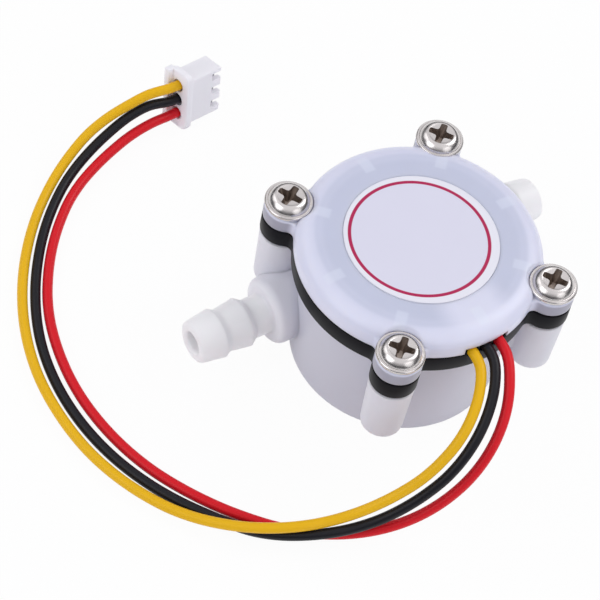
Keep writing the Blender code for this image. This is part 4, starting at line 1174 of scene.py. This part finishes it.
class FLOWSENSOR_OT_cover(bpy.types.Operator):
    """Make the milky cover with its ears, pockets, ribs and the notch for the leads"""

    bl_idname = "flow_sensor.cover"
    bl_label = "Cover"

    def execute(self, context):
        size = sizes()
        low, top = COVER_LOW.z, size.ear_top
        outline = eared_outline(size.cover_radius, size.ear, size.ear_fillet, size.facets)
        cover = extrude_outline("cover_shell", outline, low, top)
        round_edges(cover, lambda a, b: min(a.z, b.z) > top - LEVEL, size.ear_edge, 3)
        dome = self.dome()
        self.cut_pockets(dome)
        combine(cover, dome, "UNION")
        self.hollow_out(cover)
        self.cut_notch(cover)
        drill_screw_holes(cover, low - OVERCUT, top + OVERCUT)
        shade(cover)
        finish = material_once("milky_moulding", milky_plastic)
        dress(cover, finish, "housing", "milky_plastic", "top_cover")
        return {"FINISHED"}

    def cut_pockets(self, dome):
        """Cuts the pockets round the screws' flanges, each with a cone above."""
        size = sizes()
        low, brim, radius = COVER_LOW.z, size.seat + size.flange_thickness, size.flange_pocket
        profile = [(0.0, low), (radius, low), (radius, brim)]
        profile += near(radius, brim, (1.0, 1.4)) + near(0.0, brim, (0.0, 1.4))
        for index, spot in enumerate(SCREW_SPOTS):
            combine(dome, spin_profile(f"pocket_{index}", profile, centre=(*spot, 0.0), steps=64))

    def hollow_out(self, cover):
        """Cuts the hollow and joins the ribs under the roof, each kept clear of the screws' pockets."""
        size = sizes()
        inner, low = size.cover_radius - size.cover_wall, COVER_LOW.z - OVERCUT
        high = COVER_HIGH.z
        roof, fall = high - size.cover_roof, size.cover_shoulder / 2
        profile = [(0.0, roof), (inner - fall, roof), (inner, roof - fall), (inner, low), (0.0, low)]
        combine(cover, spin_profile("cover_hollow", profile))
        half, into_wall, into_roof = size.rib_width / 2, 0.5 * MM, 0.4 * MM
        clear, start = size.flange_pocket + 0.05 * MM, size.ear_top - 0.15 * MM
        for step, heading in enumerate(RIB_HEADINGS):
            rib = block(
                f"cover_rib_{step}",
                (inner - size.rib_length, -half, roof - size.rib_depth),
                (inner + into_wall, half, roof + into_roof),
            )
            set_by(rib, Matrix.Rotation(heading, 4, "Z"))
            if step % 2:
                ahead = Vector((math.cos(heading), math.sin(heading)))
                centre = (*max(SCREW_SPOTS, key=ahead.dot), 0.0)
                combine(rib, rod(f"relief_{step}", clear, start, high + OVERCUT, centre=centre, steps=64))
            combine(cover, rib, "UNION")

    def cut_notch(self, cover):
        """Cuts the notch that lets the leads out over the plate's comb."""
        size = sizes()
        side, depth, above = 0.55 * MM, 3.3 * MM, 0.35 * MM
        half, low = size.lead_pitch + size.lead + side, COVER_LOW.z
        outer, inner = -size.cover_radius - OVERCUT, depth - size.plate_radius
        notch = block("lead_notch", (-half, outer, low - OVERCUT), (half, inner, low + size.lead + above))
        combine(cover, notch)

    def dome(self):
        """The round part above the ears, with a curved shoulder and the label's recess."""
        size = sizes()
        low, high = COVER_LOW.z, COVER_HIGH.z
        recess, recess_floor = size.label_radius + size.label_margin, high - 0.3 * MM
        rise = size.cover_shoulder - size.cover_step
        fall = rise + size.cover_ease
        outer = size.cover_radius - size.cover_step
        middle = (low + size.ear_top) / 2
        profile = [(0.0, recess_floor)] + near(recess, recess_floor, (-0.06, 0.0), (0.0, 0.06))
        profile += near(recess, high, (0.0, -0.06), (0.06, 0.0))
        for angle in np.radians(np.linspace(90, 0, 19)):
            profile.append((outer - fall + fall * math.cos(angle), high - rise + rise * math.sin(angle)))
        profile += [(outer, middle), (0.0, middle)]
        return spin_profile("cover_dome", profile)


class FLOWSENSOR_OT_label(bpy.types.Operator):
    """Make the round printed label"""

    bl_idname = "flow_sensor.label"
    bl_label = "Label"

    def execute(self, context):
        size = sizes()
        low, high = LABEL_LOW.z, LABEL_HIGH.z
        edge = 0.05 * MM
        profile = [(0.0, low), (size.label_radius, low), (size.label_radius, high - edge)]
        profile += [(size.label_radius - edge, high), (size.label_radius / 2, high), (0.0, high)]
        label = spin_profile("label_disc", profile)
        shade(label)
        dress(label, material_once("printed_film", label_film), "housing", "label_film", "label")
        return {"FINISHED"}


class FLOWSENSOR_OT_screws(bpy.types.Operator):
    """Make the four cross-recessed screws with washer flanges"""

    bl_idname = "flow_sensor.screws"
    bl_label = "Screws"

    def execute(self, context):
        size = sizes()
        shown = colours()
        finish = material_once("nickel_plate", plated_metal, shown.nickel, rough=0.25, bump=0.0015)
        dark = material_once("nickel_recess", plated_metal, shown.recess, rough=0.42, dull=0.3)
        screw = self.blank()
        below, under_skin, beside = 0.05 * MM, 0.06 * MM, 0.1 * MM
        floor = self.dome_height(0.0) - size.cross_depth - below
        for node, spot, turn in zip(SCREW_NODES, SCREW_SPOTS, SCREW_TURNS):
            made = copy_of(screw, f"{node}_plated")
            set_by(made, Matrix.Translation((*spot, 0.0)) @ Matrix.Rotation(turn, 4, "Z"))
            made.data.materials.clear()
            made.data.materials.append(finish)
            made.data.materials.append(dark)
            centre = Vector((*spot, 0.0))
            for face in made.data.polygons:
                away = (face.center - centre).to_2d().length
                top = self.dome_height(away)
                level = face.center.z
                deep = floor < level < top - under_skin and abs(level - size.seat) > LEVEL
                face.material_index = int(deep and away < size.cross_span / 2 + beside)
            shade(made, 38)
            hand_over(made, "housing", "screw_steel", node)
        bpy.data.meshes.remove(screw.data)
        return {"FINISHED"}

    def dome_height(self, away):
        """Height of the domed head's surface at a distance from its middle."""
        size = sizes()
        base = size.seat + size.flange_thickness
        return base + size.head_rise * float(np.interp(away / size.head, HEAD_REACH, HEAD_RISE))

    def blank(self):
        """One screw with its cross recess, on the rotor's axis."""
        size = sizes()
        seat, rim = size.seat, size.flange
        top = seat + size.flange_thickness
        tip = size.shank_tip
        profile = near(0.0, tip, (0.0, 0.0), (0.35, 0.1)) + near(size.shank, tip, (0.0, 1.4))
        profile += [(size.shank, seat)] + near(rim, seat, (-0.1, 0.0), (0.0, 0.1))
        profile += near(rim, top, (0.0, -0.2), (-0.04, -0.08), (-0.16, 0.0))
        profile += near(size.head, top, (0.1, -0.02), (0.03, 0.0))
        for share in reversed(HEAD_REACH):
            profile.append((share * size.head, self.dome_height(share * size.head)))
        screw = spin_profile("screw_blank", profile, steps=72)
        combine(screw, self.cross_cutter())
        return screw

    def cross_cutter(self):
        """A cross that narrows downwards, with rounded inner corners."""
        size = sizes()
        half, reach = size.cross_width / 2, size.cross_span / 2
        inner, past = 0.34 * MM, 0.3 * MM
        shoulder, tip, before = 0.9 * half, 0.55 * half, reach - 0.12 * MM
        root, corner = half + inner, half + 0.3 * inner
        outline = []
        for quarter in range(4):
            arm = [(root, -half), (before, -shoulder), (reach, -tip)]
            arm += [(reach, tip), (before, shoulder), (root, half), (corner, corner)]
            outline += turned(arm, quarter * math.pi / 2)
        high = self.dome_height(0.0)
        floor = high - size.cross_depth
        cutter = extrude_outline("cross_cutter", outline, floor, high + past)
        pick(cutter)
        for vertex in cutter.data.vertices:
            vertex.select = abs(vertex.co.z - floor) < LEVEL
        for edge in cutter.data.edges:
            edge.select = all(cutter.data.vertices[i].select for i in edge.vertices)
        for face in cutter.data.polygons:
            face.select = all(cutter.data.vertices[i].select for i in face.vertices)
        bpy.ops.object.mode_set(mode="EDIT")
        narrowing = 0.45
        bpy.ops.transform.resize(value=(narrowing, narrowing, 1.0), center_override=(0.0, 0.0, floor))
        bpy.ops.object.mode_set(mode="OBJECT")
        return cutter


class FLOWSENSOR_OT_connector(bpy.types.Operator):
    """Make the crimp housing at the leads' far end"""

    bl_idname = "flow_sensor.connector"
    bl_label = "Connector"

    def execute(self, context):
        size = sizes()
        half, back = size.crimp_width / 2, size.crimp_thickness / 2
        rim_half, rim_back = size.rim_width / 2, size.rim_thickness / 2
        inside, end = size.rim_length / 2, size.rim_length + size.crimp_length
        housing = block("crimp_housing", (inside, -half, -back), (end, half, back))
        round_edges(housing, lambda a, b: True, size.crimp_edge, 3)
        rim = block("crimp_rim", (0.0, -rim_half, -rim_back), (size.rim_length, rim_half, rim_back))
        round_edges(rim, lambda a, b: abs(a.y - b.y) < MM and abs(a.z - b.z) < MM, size.rim_corner, 6)
        round_edges(rim, lambda a, b: abs(a.x - b.x) < LEVEL, size.crimp_edge, 3)
        lip_start = (-size.lip_reach, -rim_half, rim_back - size.lip_thickness)
        lip = block("crimp_lip", lip_start, (inside, rim_half, rim_back))
        round_edges(lip, lambda a, b: True, size.crimp_edge, 3)
        combine(housing, rim, "UNION")
        combine(housing, lip, "UNION")
        for index in (-1, 0, 1):
            self.cut_cavity(housing, index * size.contact_pitch, end)
        set_by(housing, crimp_frame())
        shade(housing)
        finish = material_once("nylon_moulding", nylon)
        dress(housing, finish, "housing", "connector_nylon", "connector_housing")
        return {"FINISHED"}

    def cut_cavity(self, housing, centre, end):
        """Cuts a contact's cavity, the slot through both walls at its end, and the lead's hole."""
        size = sizes()
        high, past = size.crimp_thickness, end + OVERCUT
        half, slot_length, slot_left, slot_right = MM, 1.8 * MM, 0.9 * MM, 0.4 * MM
        hole_radius, hole_end = 1.05 * MM, 2.7 * MM
        cavity = block("cavity", (size.cavity_start, centre - half, -half), (past, centre + half, half))
        slot_start = (end - slot_length, centre - slot_left, -high)
        slot = block("slot", slot_start, (past, centre + slot_right, high))
        hole = rod("lead_hole", hole_radius, -OVERCUT, hole_end, "X", (0.0, centre, 0.0), 40)
        for tool in (cavity, slot, hole):
            combine(housing, tool)


class FLOWSENSOR_OT_inner_parts(bpy.types.Operator):
    """Finish the rotor, bushes, seal, board and contacts"""

    bl_idname = "flow_sensor.inner_parts"
    bl_label = "Inner parts"

    def execute(self, context):
        black, green, tan = (0.012, 0.012, 0.012), (0.012, 0.15, 0.055), (0.45, 0.32, 0.2)
        pale_grey = (0.54, 0.57, 0.62)
        plastic = {
            "rotor": ("rotor_moulding", pale_grey, {"rough": 0.5, "spread": 0.1, "subsurface": 0.1}),
            "seal_ring": ("seal_rubber", black, {"rough": 0.75, "spread": 0.1, "cloud": 0.2, "bump": 0.03}),
            "circuit_board": ("solder_resist", green, {"rough": 0.3, "cloud": 0.3}),
            "hall_sensor": ("chip_epoxy", black, {"rough": 0.55, "spread": 0.1, "cloud": 0.2}),
            "filter_capacitor": ("capacitor_ceramic", tan, {"rough": 0.45}),
        }
        metal = {
            "rotor_shaft": ("ground_shaft", (0.65, 0.65, 0.66), {"rough": 0.22}),
            "rotor_magnet_1": ("ground_ferrite", (0.10, 0.10, 0.105), {"rough": 0.5, "dull": 0.3}),
            "lower_bush": ("sintered_bronze", (0.58, 0.38, 0.18), {"rough": 0.42, "dull": 0.3}),
            "connector_contact_1": ("tin_plate", (0.66, 0.66, 0.66), {"rough": 0.28}),
        }
        finishes = {}
        for maker, group in ((moulded_plastic, plastic), (plated_metal, metal)):
            for node, (name, base, settings) in group.items():
                finishes[node] = material_once(name, maker, base, **settings)
        same = {
            "upper_bush": "lower_bush",
            "pull_up_resistor": "hall_sensor",
            "rotor_magnet_2": "rotor_magnet_1",
            "rotor_magnet_3": "rotor_magnet_1",
            "rotor_magnet_4": "rotor_magnet_1",
            "connector_contact_2": "connector_contact_1",
            "connector_contact_3": "connector_contact_1",
        }
        for node in list(finishes) + list(same):
            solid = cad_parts[node]
            finish = finishes[same.get(node, node)]
            if not solid.material_slots:
                raise RuntimeError(f"{node} has no material slot")
            for slot in solid.material_slots:
                slot.material = finish
        return {"FINISHED"}


class FLOWSENSOR_OT_stage(bpy.types.Operator):
    """Make the camera, lamps, floor and world"""

    bl_idname = "flow_sensor.stage"
    bl_label = "Stage"

    def execute(self, context):
        self.camera(context)
        self.floor()
        self.lamps(context)
        self.world(context)
        context.scene.view_settings.view_transform = "Standard"
        return {"FINISHED"}

    def camera(self, context):
        """Looks from the photograph's heading and height, turned a little about its own axis."""
        heading, height, roll = (math.radians(v) for v in (-42.53, 53.36, -13.06))
        distance, aside, below = 371.36 * MM, 13.21 * MM, 5.84 * MM
        back = Vector(
            (math.sin(heading) * math.cos(height), -math.cos(heading) * math.cos(height), math.sin(height))
        )
        ahead = -back
        right = ahead.cross(Vector((0.0, 0.0, 1.0))).normalized()
        down = ahead.cross(right)
        across = right * math.cos(roll) + down * math.sin(roll)
        along = down * math.cos(roll) - right * math.sin(roll)
        data = bpy.data.cameras.new("photo_camera")
        data.lens = 156.0
        data.sensor_width = 36.0
        data.clip_start = 0.01
        data.clip_end = 20.0
        camera = bpy.data.objects.new("photo_camera", data)
        turn = Matrix((across, -along, back)).transposed().to_4x4()
        camera.matrix_world = Matrix.Translation(back * distance - across * aside - along * below) @ turn
        context.collection.objects.link(camera)
        context.scene.camera = camera

    def floor(self):
        """A white floor that the camera sees as nearly plain white."""
        clear_selection()
        bpy.ops.mesh.primitive_plane_add(size=6.0, location=(0.0, 0.0, 0.0))
        floor = bpy.context.object
        floor.name = "studio_floor"
        made, tree, shader, _ = begin_material("studio_floor", (0.95, 0.95, 0.95))
        shader.inputs["Base Color"].default_value = (0.93, 0.93, 0.94, 1.0)
        shader.inputs["Roughness"].default_value = 0.9
        shader.inputs["Specular IOR Level"].default_value = 0.1
        rays = add(tree, "ShaderNodeLightPath")
        seen = maths(tree, "MAXIMUM", rays.outputs["Is Camera Ray"], rays.outputs["Is Glossy Ray"])
        seen = maths(tree, "MAXIMUM", seen, rays.outputs["Is Transmission Ray"])
        glow = add(tree, "ShaderNodeEmission", {"Color": (1.0, 1.0, 1.0, 1.0), "Strength": 1.0})
        glow_share = 0.95
        mixer = add(tree, "ShaderNodeMixShader", {0: maths(tree, "MULTIPLY", seen, glow_share)})
        tree.links.new(shader.outputs[0], mixer.inputs[1])
        tree.links.new(glow.outputs[0], mixer.inputs[2])
        output = next(n for n in tree.nodes if n.type == "OUTPUT_MATERIAL")
        tree.links.new(mixer.outputs[0], output.inputs["Surface"])
        floor.data.materials.append(made)

    def lamps(self, context):
        """Four large round lamps aimed at the middle of the sensor."""
        middle = Vector((0.0, 0.0, 0.015))
        lamps = (
            ("key_lamp", (0.44, -0.06, 0.50), 0.40, 1.3, (1.0, 0.99, 0.98)),
            ("fill_lamp", (-0.50, 0.05, 0.40), 0.45, 0.85, (0.97, 0.98, 1.0)),
            ("front_lamp", (0.12, -0.55, 0.32), 0.45, 0.5, (1.0, 1.0, 1.0)),
            ("back_lamp", (-0.28, 0.48, 0.42), 0.45, 0.5, (1.0, 1.0, 1.0)),
        )
        for name, place, size, power, tint in lamps:
            data = bpy.data.lights.new(name, "AREA")
            data.shape = "DISK"
            data.size = size
            data.energy = power
            data.color = tint
            lamp = bpy.data.objects.new(name, data)
            lamp.location = place
            aim = middle - Vector(place)
            lamp.rotation_mode = "QUATERNION"
            lamp.rotation_quaternion = aim.to_track_quat("-Z", "Y")
            context.collection.objects.link(lamp)

    def world(self, context):
        """A white surround: paler overhead than near the ground, and plain white to the camera."""
        world = bpy.data.worlds.new("studio_world")
        world.use_nodes = True
        tree = world.node_tree
        background = tree.nodes["Background"]
        heading = add(tree, "ShaderNodeTexCoord").outputs["Generated"]
        height = add(tree, "ShaderNodeSeparateXYZ", {0: heading}).outputs["Z"]
        rays = add(tree, "ShaderNodeLightPath")
        lift = smooth_step(tree, height, 0.05, 0.65)
        soft = blend_colours(tree, lift, (0.61, 0.62, 0.71), (0.46, 0.46, 0.48))
        mirrored = smooth_step(tree, height, 0.22, 0.82)
        sharp = blend_colours(tree, mirrored, (0.05, 0.05, 0.055), (0.92, 0.91, 0.92))
        shown = blend_colours(tree, rays.outputs["Is Glossy Ray"], soft, sharp)
        shown = blend_colours(tree, rays.outputs["Is Camera Ray"], shown, (1.0, 1.0, 1.0))
        tree.links.new(shown, background.inputs["Color"])
        background.inputs["Strength"].default_value = 1.0
        context.scene.world = world


class FLOWSENSOR_PT_panel(bpy.types.Panel):
    """Lists the sensor's operators, sizes and colours"""

    bl_idname = "FLOWSENSOR_PT_panel"
    bl_label = "Flow sensor"
    bl_space_type = "VIEW_3D"
    bl_region_type = "UI"
    bl_category = "Flow sensor"

    def draw(self, context):
        layout = self.layout
        for operator in OPERATORS:
            layout.operator(operator.bl_idname)
        for group in (context.scene.flow_sensor_sizes, context.scene.flow_sensor_colours):
            box = layout.box()
            for name in group.__annotations__:
                box.prop(group, name)


OPERATORS = (
    FLOWSENSOR_OT_stage,
    FLOWSENSOR_OT_leads,
    FLOWSENSOR_OT_housing,
    FLOWSENSOR_OT_plate,
    FLOWSENSOR_OT_cover,
    FLOWSENSOR_OT_label,
    FLOWSENSOR_OT_screws,
    FLOWSENSOR_OT_connector,
    FLOWSENSOR_OT_inner_parts,
)
CLASSES = (FlowSensorSizes, FlowSensorColours, *OPERATORS, FLOWSENSOR_PT_panel)


def register():
    for cls in CLASSES:
        bpy.utils.register_class(cls)
    bpy.types.Scene.flow_sensor_sizes = bpy.props.PointerProperty(type=FlowSensorSizes)
    bpy.types.Scene.flow_sensor_colours = bpy.props.PointerProperty(type=FlowSensorColours)


def unregister():
    del bpy.types.Scene.flow_sensor_colours
    del bpy.types.Scene.flow_sensor_sizes
    for cls in reversed(CLASSES):
        bpy.utils.unregister_class(cls)


def main():
    register()
    steps = bpy.ops.flow_sensor
    steps.stage()
    steps.connector()
    steps.leads()
    steps.housing()
    steps.plate()
    steps.cover()
    steps.label()
    steps.screws()
    steps.inner_parts()


if __name__ == "__main__":
    main()
